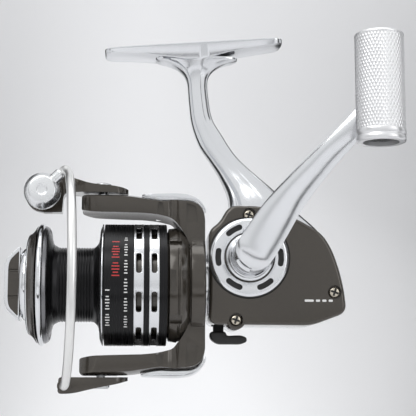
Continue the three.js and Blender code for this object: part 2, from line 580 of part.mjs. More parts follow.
function addBail() {
  mesh(bailGroup, 'bail_arm', bailArmSolid(), bronzePlastic());
  mesh(bailGroup, 'bail_lever', bailLeverSolid(), bronzePlastic());
  mesh(bailGroup, 'bail_wire', bar(bailWireCurve(), wire.radius, 30, 8), chrome());
  mesh(bailGroup, 'roller_cap', rollerCapSolid(), chrome());
  const screw = turned([[-10, 0], [-10, 1.4], [1.1, 1.4], [1.1, 2.9], [1.8, 2.9], [2.2, 2.3], [2.2, 0]], 'y', 14);
  mesh(bailGroup, 'roller_screw', screw, steel()).position.set(roller.x - pivot.x, 0, roller.z);
  const groove = turned([
    [-7.35, 1.75], [-7.35, roller.radius], [-6.4, roller.radius - 0.6], [-4.7, roller.radius - 0.6],
    [-3.75, roller.radius], [-3.75, 1.75], [-7.35, 1.75],
  ], 'y', 20);
  mesh(bailGroup, 'line_roller', groove, chrome()).position.set(roller.x - pivot.x, 0, roller.z);
}

function spoolSolid() {
  const { radius, wall, front, rear } = skirt;
  const body = turned([
    [-53.4, 9.8], [-53.4, 13.3], [-54.5, 13.5], [-54.5, 16.6], [-52.6, 18.6], [-52.4, 17.2], [-50, 18.3],
    [-47.9, 18.1], [-46.5, 13.4], [-44.7, 12.4],
    [-33, 12.4], [-31.5, 13.8], [-31, 17], [front + 0.5, 18.6], [front + 0.5, radius - 0.1], [rear, radius - 0.1],
    [rear, radius - wall], [-26.4, radius - wall], [-29, 16], [-29.4, 10.8], [-28.8, 4.6], [-25.6, 4.2],
    [-25.6, shaftRadius + gap], [-44, shaftRadius + gap], [-44, 9.8], [-53.4, 9.8],
  ], 'x', 28);
  const slots = [];
  [-18.2, -13.2].forEach((middle) => {
    for (let i = 0; i < 10; i += 1) {
      const tool = box([middle - 0.95, -3.4, radius - wall - 2], [middle + 0.95, 3.4, radius + 2]);
      slots.push(tool.rotate([i * 36 + 2, 0, 0]));
    }
  });
  return cut(body, ...slots);
}

function addSpool() {
  const { radius, front } = skirt;
  mesh(reel, 'spool', spoolSolid(), blackAnodised());
  mesh(reel, 'spool_lip_front', turned([
    [-52, 17.75], [-51.2, 19.6], [-50.6, radius], [-49.7, radius], [-48.3, 19], [-49.8, 18.75], [-52, 17.75],
  ], 'x', 28), chrome());
  mesh(reel, 'spool_lip_rear', turned([
    [front - 0.9, 19], [front - 0.7, 19.4], [front - 0.2, radius], [front + 0.15, radius], [front + 0.15, 19],
    [front - 0.9, 19],
  ], 'x', 28), chrome());
  const click = gearShape(40, 10, 0.8);
  click.holes.push(hole(5.2, 20));
  mesh(reel, 'click_gear', slab(click, 'x', -28.3, -26.9), blackPlastic());
  mesh(reel, 'spool_seat', ring('x', -25.2, -23.8, 4.6, 1.95, 16), steel());
  const kinds = [felt, steel, felt];
  kinds.forEach((kind, i) => {
    const from = -45.6 - i * 1.5;
    mesh(reel, `drag_washer_${i + 1}`, ring('x', from, from + 1.1, 9.3, i === 1 ? 1.95 : 2.6, 20), kind());
  });
  mesh(reel, 'drag_clip', ring('x', -50.1, -49.4, 9.4, 7.6, 20), steel());
}

// Drag knob on the front of the shaft: a dial in a bright rim, with a grip bar across its front
function addDragKnob() {
  const dial = turned([
    [-53.8, 0], [-53.8, 9.2], [-54.2, 9.8], [-56.8, 9.8], [-57.6, 9], [-57.6, 0],
  ], 'x', 28);
  const side = outline([
    [-57.4, -12.2], [-58.2, -11.9], [-61.7, -8.4, 2], [-62.4, -6, 2], [-62.4, 6, 2], [-61.7, 8.4, 2], [-58.2, 11.9],
    [-57.4, 12.2],
  ], 0.4);
  const whole = cut(join(dial, slab(side, 'y', -4.6, 4.6)), rod('x', -58.2, -53, 2.3, 20));
  mesh(reel, 'drag_knob', whole, bronzePlastic());
  mesh(reel, 'drag_knob_rim', turned([
    [-53.9, 10.2], [-53.9, 11.7], [-55, 12.2], [-56, 12], [-57, 10.9], [-55.8, 10.2], [-53.9, 10.2],
  ], 'x', 28), chrome());
  mesh(reel, 'drag_nut', cut(slab(disc(0, 0, 5, 6), 'x', -53.3, -51.2), rod('x', -54, -50, 1.95, 20)), brass());
  const spring = mesh(reel, 'drag_spring', bar(new Helix(3.4, 3, 1.4), 0.3, 30, 4), steel());
  spring.position.x = -50.6;
}

addBody();
addAntiReverse();
addHandle();
addOscillation();
addRotor();
addBail();
addSpool();
addDragKnob();

export default reel;
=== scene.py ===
import json
import math

import bpy
import bmesh
from mathutils import Matrix, Vector


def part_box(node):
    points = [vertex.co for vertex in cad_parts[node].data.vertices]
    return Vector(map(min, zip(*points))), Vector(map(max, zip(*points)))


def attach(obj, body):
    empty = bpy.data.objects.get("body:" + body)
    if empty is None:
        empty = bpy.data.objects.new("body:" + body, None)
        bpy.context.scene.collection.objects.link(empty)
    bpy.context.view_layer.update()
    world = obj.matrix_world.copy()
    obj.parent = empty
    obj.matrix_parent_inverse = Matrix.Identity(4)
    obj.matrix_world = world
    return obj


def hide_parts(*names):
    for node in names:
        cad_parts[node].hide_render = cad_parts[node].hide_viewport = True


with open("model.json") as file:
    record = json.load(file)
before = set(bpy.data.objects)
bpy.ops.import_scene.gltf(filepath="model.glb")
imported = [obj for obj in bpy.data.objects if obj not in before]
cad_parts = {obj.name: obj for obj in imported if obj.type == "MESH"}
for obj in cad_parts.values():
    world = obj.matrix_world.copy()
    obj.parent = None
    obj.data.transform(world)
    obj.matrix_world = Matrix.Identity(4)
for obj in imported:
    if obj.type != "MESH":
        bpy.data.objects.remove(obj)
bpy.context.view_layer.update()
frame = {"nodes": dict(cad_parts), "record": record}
scene = bpy.context.scene
print("frame loaded")

# ---- places, all taken from the frame; shapes are drawn in millimetres round the spool axis
mm = 0.001


def middleOf(node):
    low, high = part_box(node)
    return (low + high) / 2 / mm


spoolAxis = middleOf("main_shaft").z


# A node's middle as the side view has it, with no depth
def placeOf(node):
    middle = middleOf(node)
    return Vector((middle.x, 0, middle.z - spoolAxis))


gearCentre = placeOf("handle_shaft")
pinPlace = placeOf("knob_pin")
rollerPlace = placeOf("line_roller")
pivotPlace = placeOf("bail_screw_upper")
screwPlaces = [placeOf(f"cover_screw_{i}") for i in (1, 2, 3)]
knobCentre = middleOf("knob_grip") - Vector((0, 0, spoolAxis))


# ---- mesh helpers

def toWorld(point):
    return Vector((point[0], point[1], point[2] + spoolAxis)) * mm


def newObject(name, vertices, faces):
    mesh = bpy.data.meshes.new(name)
    mesh.from_pydata([toWorld(v) for v in vertices], [], faces)
    mesh.validate()
    obj = bpy.data.objects.new(name, mesh)
    scene.collection.objects.link(obj)
    work = bmesh.new()
    work.from_mesh(mesh)
    bmesh.ops.remove_doubles(work, verts=work.verts, dist=1e-7)
    bmesh.ops.recalc_face_normals(work, faces=work.faces)
    work.to_mesh(mesh)
    work.free()
    return obj


def applyModifiers(obj):
    bpy.context.view_layer.update()
    graph = bpy.context.evaluated_depsgraph_get()
    mesh = bpy.data.meshes.new_from_object(obj.evaluated_get(graph))
    obj.modifiers.clear()
    old = obj.data
    obj.data = mesh
    bpy.data.meshes.remove(old)
    return obj


def combine(obj, others, operation):
    for other in others:
        step = obj.modifiers.new("cut", "BOOLEAN")
        step.operation = operation
        step.solver = "EXACT"
        step.object = other
    applyModifiers(obj)
    for other in others:
        bpy.data.objects.remove(other)
    return obj


def cutAway(obj, *tools):
    return combine(obj, tools, "DIFFERENCE")


def joinOn(obj, *others):
    return combine(obj, others, "UNION")


def keepInside(obj, *tools):
    return combine(obj, tools, "INTERSECT")


def softenEdges(obj, width, steps, angle):
    bevel = obj.modifiers.new("soft", "BEVEL")
    bevel.width = width * mm
    bevel.segments = steps
    bevel.limit_method = "ANGLE"
    bevel.angle_limit = math.radians(angle)
    bevel.harden_normals = False
    return applyModifiers(obj)


def shadeByAngle(obj, angle):
    work = bmesh.new()
    work.from_mesh(obj.data)
    for face in work.faces:
        face.smooth = True
    for edge in work.edges:
        edge.smooth = len(edge.link_faces) != 2 or edge.calc_face_angle(0) <= math.radians(angle)
    work.to_mesh(obj.data)
    work.free()
    return obj


# A piece is finished by giving it its body, finish and the CAD nodes that it stands for
def fit(obj, body, finish, nodes=(), angle=35):
    shadeByAngle(obj, angle)
    obj.data.materials.clear()
    obj.data.materials.append(finishes[finish])
    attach(obj, body)
    if nodes:
        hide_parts(*nodes)
    return obj


# Corners (a, b) or (a, b, own radius) become short arcs
def roundCorners(corners, radius, steps, closed=True):
    points = []
    count = len(corners)
    for i, corner in enumerate(corners):
        here = Vector(corner[:2])
        if not closed and i in (0, count - 1):
            points.append(here)
            continue
        before = Vector(corners[i - 1][:2]) - here
        after = Vector(corners[(i + 1) % count][:2]) - here
        wanted = corner[2] if len(corner) > 2 else radius
        reach = min(wanted, before.length * 0.48, after.length * 0.48)
        if reach < 1e-4:
            points.append(here)
            continue
        start = here + before.normalized() * reach
        end = here + after.normalized() * reach
        for step in range(steps + 1):
            t = step / steps
            points.append(start * (1 - t) ** 2 + here * 2 * t * (1 - t) + end * t ** 2)
    return points


# Where the drawn axes (a, b) and the depth go for a shape pushed along x, y or z
def laidOut(axis, a, b, depth):
    if axis == "x":
        return (depth, a, b)
    if axis == "y":
        return (a, depth, b)
    return (a, b, depth)


# The faces between two rings of points, told by the rings' numbers
def bandFaces(first, second, count):
    faces = []
    for i in range(count):
        j = (i + 1) % count
        faces.append((first * count + i, first * count + j, second * count + j, second * count + i))
    return faces


# The faces of a skin through several rings, capped at both ends
def skinFaces(rings, count):
    faces = [list(range(count))[::-1], [(rings - 1) * count + i for i in range(count)]]
    for ring in range(rings - 1):
        faces += bandFaces(ring, ring + 1, count)
    return faces


# A flat outline pushed from low to high, its rim rounded by edgeLow and edgeHigh
def slabShape(name, axis, outline, low, high, edgeLow=0.0, edgeHigh=0.0, steps=3):
    points = [Vector(p[:2]) for p in outline]
    count = len(points)
    area = sum(points[i - 1].x * points[i].y - points[i].x * points[i - 1].y for i in range(count))
    turn = 1 if area > 0 else -1
    inward = []
    for i in range(count):
        along = (points[(i + 1) % count] - points[i - 1]).normalized()
        inward.append(Vector((-along.y, along.x)) * turn)
    rings = []
    for t in range(steps + 1 if edgeLow else 1):
        angle = math.pi / 2 * (t / steps if edgeLow else 1)
        rings.append((edgeLow * (1 - math.sin(angle)), low + edgeLow * (1 - math.cos(angle))))
    for t in range(steps + 1 if edgeHigh else 1):
        angle = math.pi / 2 * (t / steps if edgeHigh else 0)
        rings.append((edgeHigh * (1 - math.cos(angle)), high - edgeHigh * (1 - math.sin(angle))))
    vertices = []
    for inset, depth in rings:
        for point, move in zip(points, inward):
            vertices.append(laidOut(axis, *(point + move * inset), depth))
    return newObject(name, vertices, skinFaces(len(rings), count))


# The corners of a rectangle round (a, b)
def rectangle(a, b, halfA, halfB):
    return [(a - halfA, b - halfB), (a + halfA, b - halfB), (a + halfA, b + halfB), (a - halfA, b + halfB)]


# Half an outline's corners, then the same corners mirrored
def bothSides(corners):
    return corners + [(a, -b, *radius) for a, b, *radius in reversed(corners)]


def arcPoints(a, b, radius, start, sweep, steps):
    turns = [start + sweep * i / steps for i in range(steps + 1)]
    return [(a + radius * math.cos(t), b + radius * math.sin(t)) for t in turns]


def circlePoints(a, b, radius, sides=64):
    return arcPoints(a, b, radius, 0, 2 * math.pi, sides)[:-1]


# A turned piece. The profile is (place along the axis, radius); it closes on itself or on the axis
def turnedShape(name, axis, profile, centre=(0, 0, 0), sides=96, rounding=0.15, wave=None):
    onAxis = profile[0][1] == 0
    points = roundCorners(profile, rounding, 3, closed=not onAxis)
    vertices = []
    for along, radius in points:
        for i in range(sides):
            angle = 2 * math.pi * i / sides
            r = radius + (wave(along, radius, angle) if wave else 0)
            a, b = r * math.cos(angle), r * math.sin(angle)
            spot = Vector(laidOut(axis, a, b, along))
            vertices.append(spot + Vector(centre))
    faces = []
    last = len(points) - 1 if onAxis else len(points)
    for ring in range(last):
        faces += bandFaces(ring, (ring + 1) % len(points), sides)
    return newObject(name, vertices, faces)


def rodShape(name, axis, low, high, radius, centre=(0, 0, 0), sides=32):
    return turnedShape(name, axis, [(low, 0), (low, radius), (high, radius), (high, 0)], centre, sides, 0)


def boxShape(name, low, high):
    outline = [(low[0], low[1]), (high[0], low[1]), (high[0], high[1]), (low[0], high[1])]
    return slabShape(name, "z", outline, low[2], high[2])


# A skin through closed sections, each a list of points; the end sections are capped
def loftShape(name, sections):
    vertices = [point for section in sections for point in section]
    return newObject(name, vertices, skinFaces(len(sections), len(sections[0])))


# A smooth run through (place, value) stations
def smoothRun(stations):
    def valueAt(place):
        if place <= stations[0][0]:
            return stations[0][1]
        for i in range(len(stations) - 1):
            (p1, v1), (p2, v2) = stations[i], stations[i + 1]
            if place <= p2:
                p0, v0 = stations[max(i - 1, 0)]
                p3, v3 = stations[min(i + 2, len(stations) - 1)]
                slope1 = (v2 - v0) / (p2 - p0)
                slope2 = (v3 - v1) / (p3 - p1)
                span = p2 - p1
                t = (place - p1) / span
                return ((2 * t ** 3 - 3 * t * t + 1) * v1 + (t ** 3 - 2 * t * t + t) * span * slope1
                        + (3 * t * t - 2 * t ** 3) * v2 + (t ** 3 - t * t) * span * slope2)
        return stations[-1][1]
    return valueAt


# A round bar along a path, each end drawn in to a blunt tip
def barShape(name, path, radius, sides):
    sections = []
    normal = None
    for i, point in enumerate(path):
        ahead = path[min(i + 1, len(path) - 1)] - path[max(i - 1, 0)]
        ahead.normalize()
        if normal is None:
            normal = ahead.orthogonal().normalized()
        normal = (normal - ahead * normal.dot(ahead)).normalized()
        side = ahead.cross(normal)
        ring = []
        for k in range(sides):
            angle = 2 * math.pi * k / sides
            ring.append(point + (normal * math.cos(angle) + side * math.sin(angle)) * radius)
        sections.append(ring)
    for end, inner in ((0, 1), (-1, -2)):
        outward = (path[end] - path[inner]).normalized() * 0.35 * radius
        tip = [path[end] + (p - path[end]) * 0.7 + outward for p in sections[end]]
        sections.insert(0 if end == 0 else len(sections), tip)
    return loftShape(name, sections)


def splinePath(points, steps):
    spots = [Vector(p) for p in points]
    runs = []
    for k in range(3):
        runs.append(smoothRun([(i, spot[k]) for i, spot in enumerate(spots)]))
    last = len(spots) - 1
    return [Vector([run(last * i / steps) for run in runs]) for i in range(steps + 1)]


def turnAbout(obj, axis, angle, centre=(0, 0, 0)):
    spot = toWorld(centre)
    obj.data.transform(Matrix.Translation(spot) @ Matrix.Rotation(angle, 4, axis) @ Matrix.Translation(-spot))
    return obj


print("helpers ready")

# ---- shader groups shared by the finishes

def newGroup(name, inputs, outputs):
    group = bpy.data.node_groups.new(name, "ShaderNodeTree")
    for label, kind, value in inputs:
        socket = group.interface.new_socket(name=label, in_out="INPUT", socket_type="NodeSocket" + kind)
        if value is not None:
            socket.default_value = value
    for label, kind in outputs:
        group.interface.new_socket(name=label, in_out="OUTPUT", socket_type="NodeSocket" + kind)
    return group, group.nodes.new("NodeGroupInput"), group.nodes.new("NodeGroupOutput")


def addNode(tree, kind, **values):
    node = tree.nodes.new("ShaderNode" + kind)
    for key, value in values.items():
        setattr(node, key, value)
    return node


# Soft blotches of handling and polish: a mask of broad noise
def makeSmudge():
    group, start, end = newGroup("smudge", [("Vector", "Vector", None), ("Scale", "Float", 60.0),
                                            ("Low", "Float", 0.2), ("High", "Float", 0.3)],
                                            [("Value", "Float")])
    tex = addNode(group, "TexNoise")
    tex.inputs["Detail"].default_value = 3
    tex.inputs["Roughness"].default_value = 0.6
    span = addNode(group, "MapRange")
    link = group.links.new
    link(start.outputs["Vector"], tex.inputs["Vector"])
    link(start.outputs["Scale"], tex.inputs["Scale"])
    link(tex.outputs["Fac"], span.inputs["Value"])
    span.inputs["From Min"].default_value = 0.3
    span.inputs["From Max"].default_value = 0.7
    link(start.outputs["Low"], span.inputs["To Min"])
    link(start.outputs["High"], span.inputs["To Max"])
    link(span.outputs["Result"], end.inputs["Value"])
    return group


# Fine tool lines round the spool axis: noise that changes along the axis and the radius only
def makeToolLines():
    group, start, end = newGroup("toolLines", [("Vector", "Vector", None), ("Height", "Float", 0.0),
                                               ("Scale", "Float", 4000.0)], [("Value", "Float")])
    parts = addNode(group, "SeparateXYZ")
    lift = addNode(group, "Math", operation="SUBTRACT")
    squareY = addNode(group, "Math", operation="MULTIPLY")
    squareZ = addNode(group, "Math", operation="MULTIPLY")
    total = addNode(group, "Math", operation="ADD")
    root = addNode(group, "Math", operation="SQRT")
    joined = addNode(group, "CombineXYZ")
    tex = addNode(group, "TexNoise")
    tex.inputs["Detail"].default_value = 2
    link = group.links.new
    link(start.outputs["Vector"], parts.inputs[0])
    link(parts.outputs["Z"], lift.inputs[0])
    link(start.outputs["Height"], lift.inputs[1])
    link(parts.outputs["Y"], squareY.inputs[0])
    link(parts.outputs["Y"], squareY.inputs[1])
    link(lift.outputs[0], squareZ.inputs[0])
    link(lift.outputs[0], squareZ.inputs[1])
    link(squareY.outputs[0], total.inputs[0])
    link(squareZ.outputs[0], total.inputs[1])
    link(total.outputs[0], root.inputs[0])
    link(parts.outputs["X"], joined.inputs["X"])
    link(root.outputs[0], joined.inputs["Y"])
    link(joined.outputs[0], tex.inputs["Vector"])
    link(start.outputs["Scale"], tex.inputs["Scale"])
    link(tex.outputs["Fac"], end.inputs["Value"])
    return group


# Metal flake under lacquer: small cells of slightly different brightness
def makeFlake():
    group, start, end = newGroup("flake", [("Vector", "Vector", None), ("Scale", "Float", 9000.0),
                                           ("Dark", "Color", (0.03, 0.025, 0.02, 1)),
                                           ("Light", "Color", (0.09, 0.075, 0.06, 1))], [("Color", "Color")])
    cells = addNode(group, "TexVoronoi")
    parts = addNode(group, "SeparateColor")
    blend = addNode(group, "Mix", data_type="RGBA")
    link = group.links.new
    link(start.outputs["Vector"], cells.inputs["Vector"])
    link(start.outputs["Scale"], cells.inputs["Scale"])
    link(cells.outputs["Color"], parts.inputs[0])
    link(parts.outputs[0], blend.inputs["Factor"])
    link(start.outputs["Dark"], blend.inputs[6])
    link(start.outputs["Light"], blend.inputs[7])
    link(blend.outputs[2], end.inputs["Color"])
    return group


# Pits and grain as a height
def makeGrain():
    group, start, end = newGroup("grain", [("Vector", "Vector", None), ("Scale", "Float", 2500.0)],
                                 [("Height", "Float")])
    tex = addNode(group, "TexNoise")
    tex.inputs["Detail"].default_value = 4
    link = group.links.new
    link(start.outputs["Vector"], tex.inputs["Vector"])
    link(start.outputs["Scale"], tex.inputs["Scale"])
    link(tex.outputs["Fac"], end.inputs["Height"])
    return group


smudgeGroup, toolLinesGroup, flakeGroup, grainGroup = makeSmudge(), makeToolLines(), makeFlake(), makeGrain()


def useGroup(tree, group, coordinates, **values):
    node = addNode(tree, "Group", node_tree=group)
    tree.links.new(coordinates, node.inputs["Vector"])
    for label, value in values.items():
        node.inputs[label].default_value = value
    return node


def startMaterial(name, colour, metallic, roughness):
    material = bpy.data.materials.new(name)
    material.use_nodes = True
    tree = material.node_tree
    shader = tree.nodes["Principled BSDF"]
    shader.inputs["Base Color"].default_value = (*colour, 1)
    shader.inputs["Metallic"].default_value = metallic
    shader.inputs["Roughness"].default_value = roughness
    coordinates = addNode(tree, "TexCoord").outputs["Object"]
    return material, tree, shader, coordinates


def addBump(tree, shader, height, strength, distance):
    bump = addNode(tree, "Bump")
    bump.inputs["Strength"].default_value = strength
    bump.inputs["Distance"].default_value = distance * mm
    tree.links.new(height, bump.inputs["Height"])
    tree.links.new(bump.outputs["Normal"], shader.inputs["Normal"])


# Smooth metal, polished or plated: a colour, and a roughness that wanders a little
def makeMetal(name, colour, low, high, scale, grain=0.0, grainScale=2500.0):
    material, tree, shader, coordinates = startMaterial(name, colour, 1, low)
    haze = useGroup(tree, smudgeGroup, coordinates, Scale=scale, Low=low, High=high)
    tree.links.new(haze.outputs["Value"], shader.inputs["Roughness"])
    if grain:
        pits = useGroup(tree, grainGroup, coordinates, Scale=grainScale)
        addBump(tree, shader, pits.outputs["Height"], grain, 0.02)
    return material


# Turned metal: tool lines run round the spool axis
def makeTurnedMetal(name, colour, low, high, scale, bump, metallic=1):
    material, tree, shader, coordinates = startMaterial(name, colour, metallic, low)
    lines = useGroup(tree, toolLinesGroup, coordinates, Height=spoolAxis * mm, Scale=scale)
    span = addNode(tree, "MapRange")
    span.inputs["To Min"].default_value = low
    span.inputs["To Max"].default_value = high
    tree.links.new(lines.outputs["Value"], span.inputs["Value"])
    tree.links.new(span.outputs["Result"], shader.inputs["Roughness"])
    addBump(tree, shader, lines.outputs["Value"], bump, 0.01)
    return material


# Lacquered plastic with flake
def makeLacquer(name, dark, light, roughness):
    material, tree, shader, coordinates = startMaterial(name, dark, 0.4, roughness)
    sparkle = useGroup(tree, flakeGroup, coordinates, Scale=12000.0, Dark=(*dark, 1), Light=(*light, 1))
    tree.links.new(sparkle.outputs["Color"], shader.inputs["Base Color"])
    haze = useGroup(tree, smudgeGroup, coordinates, Scale=45.0, Low=roughness, High=roughness + 0.08)
    tree.links.new(haze.outputs["Value"], shader.inputs["Roughness"])
    shader.inputs["Coat Weight"].default_value = 0.5
    shader.inputs["Coat Roughness"].default_value = 0.12
    ripple = useGroup(tree, grainGroup, coordinates, Scale=350.0)
    addBump(tree, shader, ripple.outputs["Height"], 0.03, 0.03)
    return material


# Moulded plastic or felt with a matt grain
def makeMoulded(name, colour, roughness, grainScale=1800.0, grain=0.3):
    material, tree, shader, coordinates = startMaterial(name, colour, 0, roughness)
    haze = useGroup(tree, smudgeGroup, coordinates, Scale=80.0, Low=roughness - 0.06, High=roughness + 0.06)
    tree.links.new(haze.outputs["Value"], shader.inputs["Roughness"])
    pits = useGroup(tree, grainGroup, coordinates, Scale=grainScale)
    addBump(tree, shader, pits.outputs["Height"], grain, 0.03)
    return material


finishes = {
    "polished": makeMetal("polishedCasting", (0.72, 0.73, 0.75), 0.14, 0.24, 40.0, 0.04, 700.0),
    "chrome": makeMetal("chromePlate", (0.74, 0.75, 0.77), 0.06, 0.12, 70.0),
    "chromeSoft": makeMetal("softChrome", (0.78, 0.79, 0.80), 0.2, 0.3, 80.0),
    "satinSilver": makeMetal("satinSilver", (0.80, 0.80, 0.79), 0.3, 0.4, 60.0, 0.08, 1500.0),
    "chromeTurned": makeTurnedMetal("turnedChrome", (0.74, 0.75, 0.77), 0.14, 0.3, 3000.0, 0.15),
    "knurled": makeMetal("knurledAluminium", (0.78, 0.78, 0.79), 0.3, 0.42, 90.0, 0.1, 3000.0),
    "bronze": makeLacquer("bronzeLacquer", (0.040, 0.034, 0.027), (0.060, 0.051, 0.041), 0.17),
    "bronzeDark": makeLacquer("bronzeLacquerDark", (0.028, 0.023, 0.019), (0.045, 0.038, 0.032), 0.24),
    "blackAnodised": makeTurnedMetal("blackAnodised", (0.012, 0.012, 0.013), 0.2, 0.36, 2500.0, 0.2, 0.7),
    "greyAnodised": makeTurnedMetal("greyAnodised", (0.2, 0.2, 0.21), 0.2, 0.34, 2500.0, 0.3),
    "blackPlastic": makeMoulded("blackPlastic", (0.010, 0.010, 0.010), 0.42),
    "brass": makeMetal("nickelBrass", (0.60, 0.55, 0.46), 0.18, 0.3, 120.0, 0.1),
    "steel": makeMetal("machinedSteel", (0.56, 0.57, 0.58), 0.22, 0.36, 120.0, 0.15),
    "zinc": makeMetal("castZinc", (0.46, 0.47, 0.49), 0.38, 0.5, 90.0, 0.4, 1200.0),
    "felt": makeMoulded("oiledFelt", (0.2, 0.17, 0.13), 0.9, 900.0, 0.8),
    "markPale": makeMoulded("paleMark", (0.7, 0.7, 0.69), 0.45),
    "markRed": makeMoulded("redMark", (0.5, 0.03, 0.03), 0.4),
}
print("finishes ready")

# ---- body casting: foot, stem and the far half of the housing
housingCorners = [
    (4.7, -13.6), (38.4, -13.9), (50, -9.6), (49.2, -1.9), (47.6, 5), (45.4, 11.3), (42.1, 16.6),
    (34.2, 21.2), (22.6, 25.5), (11.4, 25.7), (8.2, 20), (4.7, 17.3),
]
housingOutline = roundCorners(housingCorners, 3, 6)
cavityOutline = roundCorners([
    (6.6, -11.8), (38.1, -12), (48, -8.4), (47.3, -2.2), (45.8, 4.5), (43.8, 10.4), (40.9, 15.2),
    (33.4, 19.5), (22.3, 23.7), (12.4, 23.8), (9.9, 19.2), (6.6, 16.4),
], 1, 2)


# The round ear of the front lower screw, and the room behind it for the backstop lever
def earShape(low, high, edgeLow, edgeHigh):
    return slabShape("ear", "y", circlePoints(screwPlaces[2].x, screwPlaces[2].z, 3.1), low, high, edgeLow,
                     edgeHigh)


def leverRoom():
    return boxShape("leverRoom", (6.2, -4.9, -20), (10.7, 4.9, -11.4))


footSettings = {"length": 61, "width": 14.5, "tilt": math.radians(4.5), "lean": 0.3, "corner": 3.2}
footPlan = smoothRun([(0, 0.86), (0.12, 0.95), (0.5, 1), (0.88, 0.95), (1, 0.86)])
footDepth = smoothRun([(0, 1.9), (0.1, 2.3), (0.25, 3.4), (0.37, 5.0), (0.45, 6.1), (0.55, 6.1),
                       (0.63, 5.2), (0.76, 3.6), (0.92, 2.4), (1, 1.9)])


# The foot's section has a leaning flank on each side and a slightly bowed underside
def makeFoot(s):
    sections = []
    steps = 90
    for i in range(steps + 1):
        t = 0.5 - 0.5 * math.cos(math.pi * i / steps)
        x = (t - 0.5) * s["length"]
        toEnd = s["corner"] - (s["length"] / 2 - abs(x))
        cap = 1 - math.sqrt(max(0, s["corner"] ** 2 - max(0, toEnd) ** 2)) / s["corner"]
        half = s["width"] / 2 * footPlan(t) - s["corner"] * cap
        depth = footDepth(t) - 0.5 * cap
        foot = half - s["lean"] * depth
        flank = depth * 0.86
        ring = [(x, -half + 0.3, 0), (x, half - 0.3, 0), (x, half, -0.3), (x, half - 0.05, -0.7)]
        low = [(foot + (half - foot) * 0.12, -flank + 0.25), (foot, -flank), (foot - 0.5, -flank - 0.12)]
        for k in range(1, 8):
            v = 1 - k / 8
            low.append((foot * v * 0.92, -flank - (depth - flank) * (1 - v * v)))
        ring += [(x, y, z) for y, z in low]
        ring.append((x, 0, -depth))
        ring += [(x, -y, z) for y, z in reversed(low)]
        ring += [(x, -half + 0.05, -0.7), (x, -half, -0.3)]
        sections.append(ring)
    foot = loftShape("foot", sections)
    turn = Matrix.Rotation(-s["tilt"], 4, "Y")
    foot.data.transform(Matrix.Translation((0, 0, -spoolAxis * mm)))
    foot.data.transform(turn)
    return foot


# The stem's section, from its front edge to its rear: a groove strip, a flat, a ridge and a facet
stemSection = [(0, 0.42), (0.02, 0.62), (0.05, 0.74), (0.085, 0.76), (0.10, 0.64), (0.15, 0.62),
               (0.17, 0.80), (0.2, 0.84), (0.36, 0.90), (0.5, 0.95), (0.56, 1.0), (0.62, 1.0), (0.66, 0.94),
               (0.8, 0.80), (0.93, 0.62), (0.98, 0.46), (1, 0.3)]
stemFront = smoothRun([(13.5, 13.6), (22, 12.5), (29.9, 12), (37, 9), (42.6, 5.5), (47.1, 2.5), (52.2, 0.4),
                       (56.9, -0.8), (64.3, -1.6), (70, -2.1), (72.6, -3.2), (74.6, -5.2), (76.2, -8.4),
                       (77.4, -13)])
stemRear = smoothRun([(13.5, 44.6), (18.5, 41.9), (24.9, 34.9), (33.1, 26.4), (37.9, 20.9), (43.1, 15.4),
                      (46.6, 12.7), (51.1, 9.9), (57, 6.5), (64.4, 5.1), (70, 4.8), (72.6, 5.6),
                      (74.6, 7.4), (76.2, 10.2), (77.6, 15)])
stemWidth = smoothRun([(13.5, 10.2), (22, 9.6), (28, 8.8), (34, 6.9), (40, 5.1), (47, 4.0), (56, 3.5),
                       (66, 3.4), (71, 3.6), (74, 4.1), (76, 4.9), (78, 5.8)])


def makeStem():
    heights = [13.5 + (78.4 - 13.5) * i / 110 for i in range(111)]
    sections = []
    for z in heights:
        front, rear, width = stemFront(z), stemRear(z), stemWidth(z)
        ring = []
        for u, w in stemSection:
            ring.append((front + (rear - front) * u, -width * w, z))
        for u, w in reversed(stemSection):
            ring.append((front + (rear - front) * u, width * w, z))
        sections.append(ring)
    return loftShape("stem", sections)


castingSettings = {"split": -0.8, "far": 12, "roll": 2.2, "inside": 10.3, "snout": 10.2, "snoutBore": 5.9,
                   "clutch": 8.5, "bearing": 6.6, "boss": 8, "bossBore": 5.4, "post": 2.6}


def makeCasting(s):
    shell = slabShape("bodyCasting", "y", housingOutline, s["split"], s["far"], 0.0, s["roll"], 6)
    joinOn(shell, earShape(s["split"], 10.8, 0.0, 0.8), makeStem(), makeFoot(footSettings))
    nearRoom = slabShape("nearRoom", "y", housingOutline, -30, s["split"])
    cutAway(nearRoom, boxShape("aboveCover", (0, -30, 26.3), (60, 0, 40)))
    cutAway(shell, nearRoom, slabShape("cavity", "y", cavityOutline, -14, s["inside"]))
    snout, bore = s["snout"], s["snoutBore"]
    nose = turnedShape("nose", "x", [(-4.4, bore), (-4.4, snout), (6.3, snout), (6.3, bore)], rounding=0.3)
    boss = turnedShape("boss", "y", [
        (7, s["bossBore"]), (7, s["boss"]), (12.1, s["boss"]), (12.6, 7.4), (12.6, s["bossBore"])],
        gearCentre,
        rounding=0.2)
    posts = [rodShape("post", "y", 1, 11.4, s["post"], p) for p in screwPlaces]
    joinOn(shell, nose, boss, *posts)
    low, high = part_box("bearing_far_side")
    room = rodShape("room", "y", low.y / mm - 0.3, high.y / mm + 0.5, s["bearing"], gearCentre)
    opening = rodShape("opening", "y", 6, 14, s["bossBore"], gearCentre)
    clutchRoom = rodShape("clutchRoom", "x", -5.4, 0.4, s["clutch"])
    bearingRoom = rodShape("bearingRoom", "x", 0, 6.7, bore)
    return cutAway(shell, room, opening, clutchRoom, bearingRoom, leverRoom())


casting = makeCasting(castingSettings)
softenEdges(casting, 0.22, 2, 40)
fit(casting, "body", "polished", ["body_frame"], 32)
print("casting done", len(casting.data.polygons))

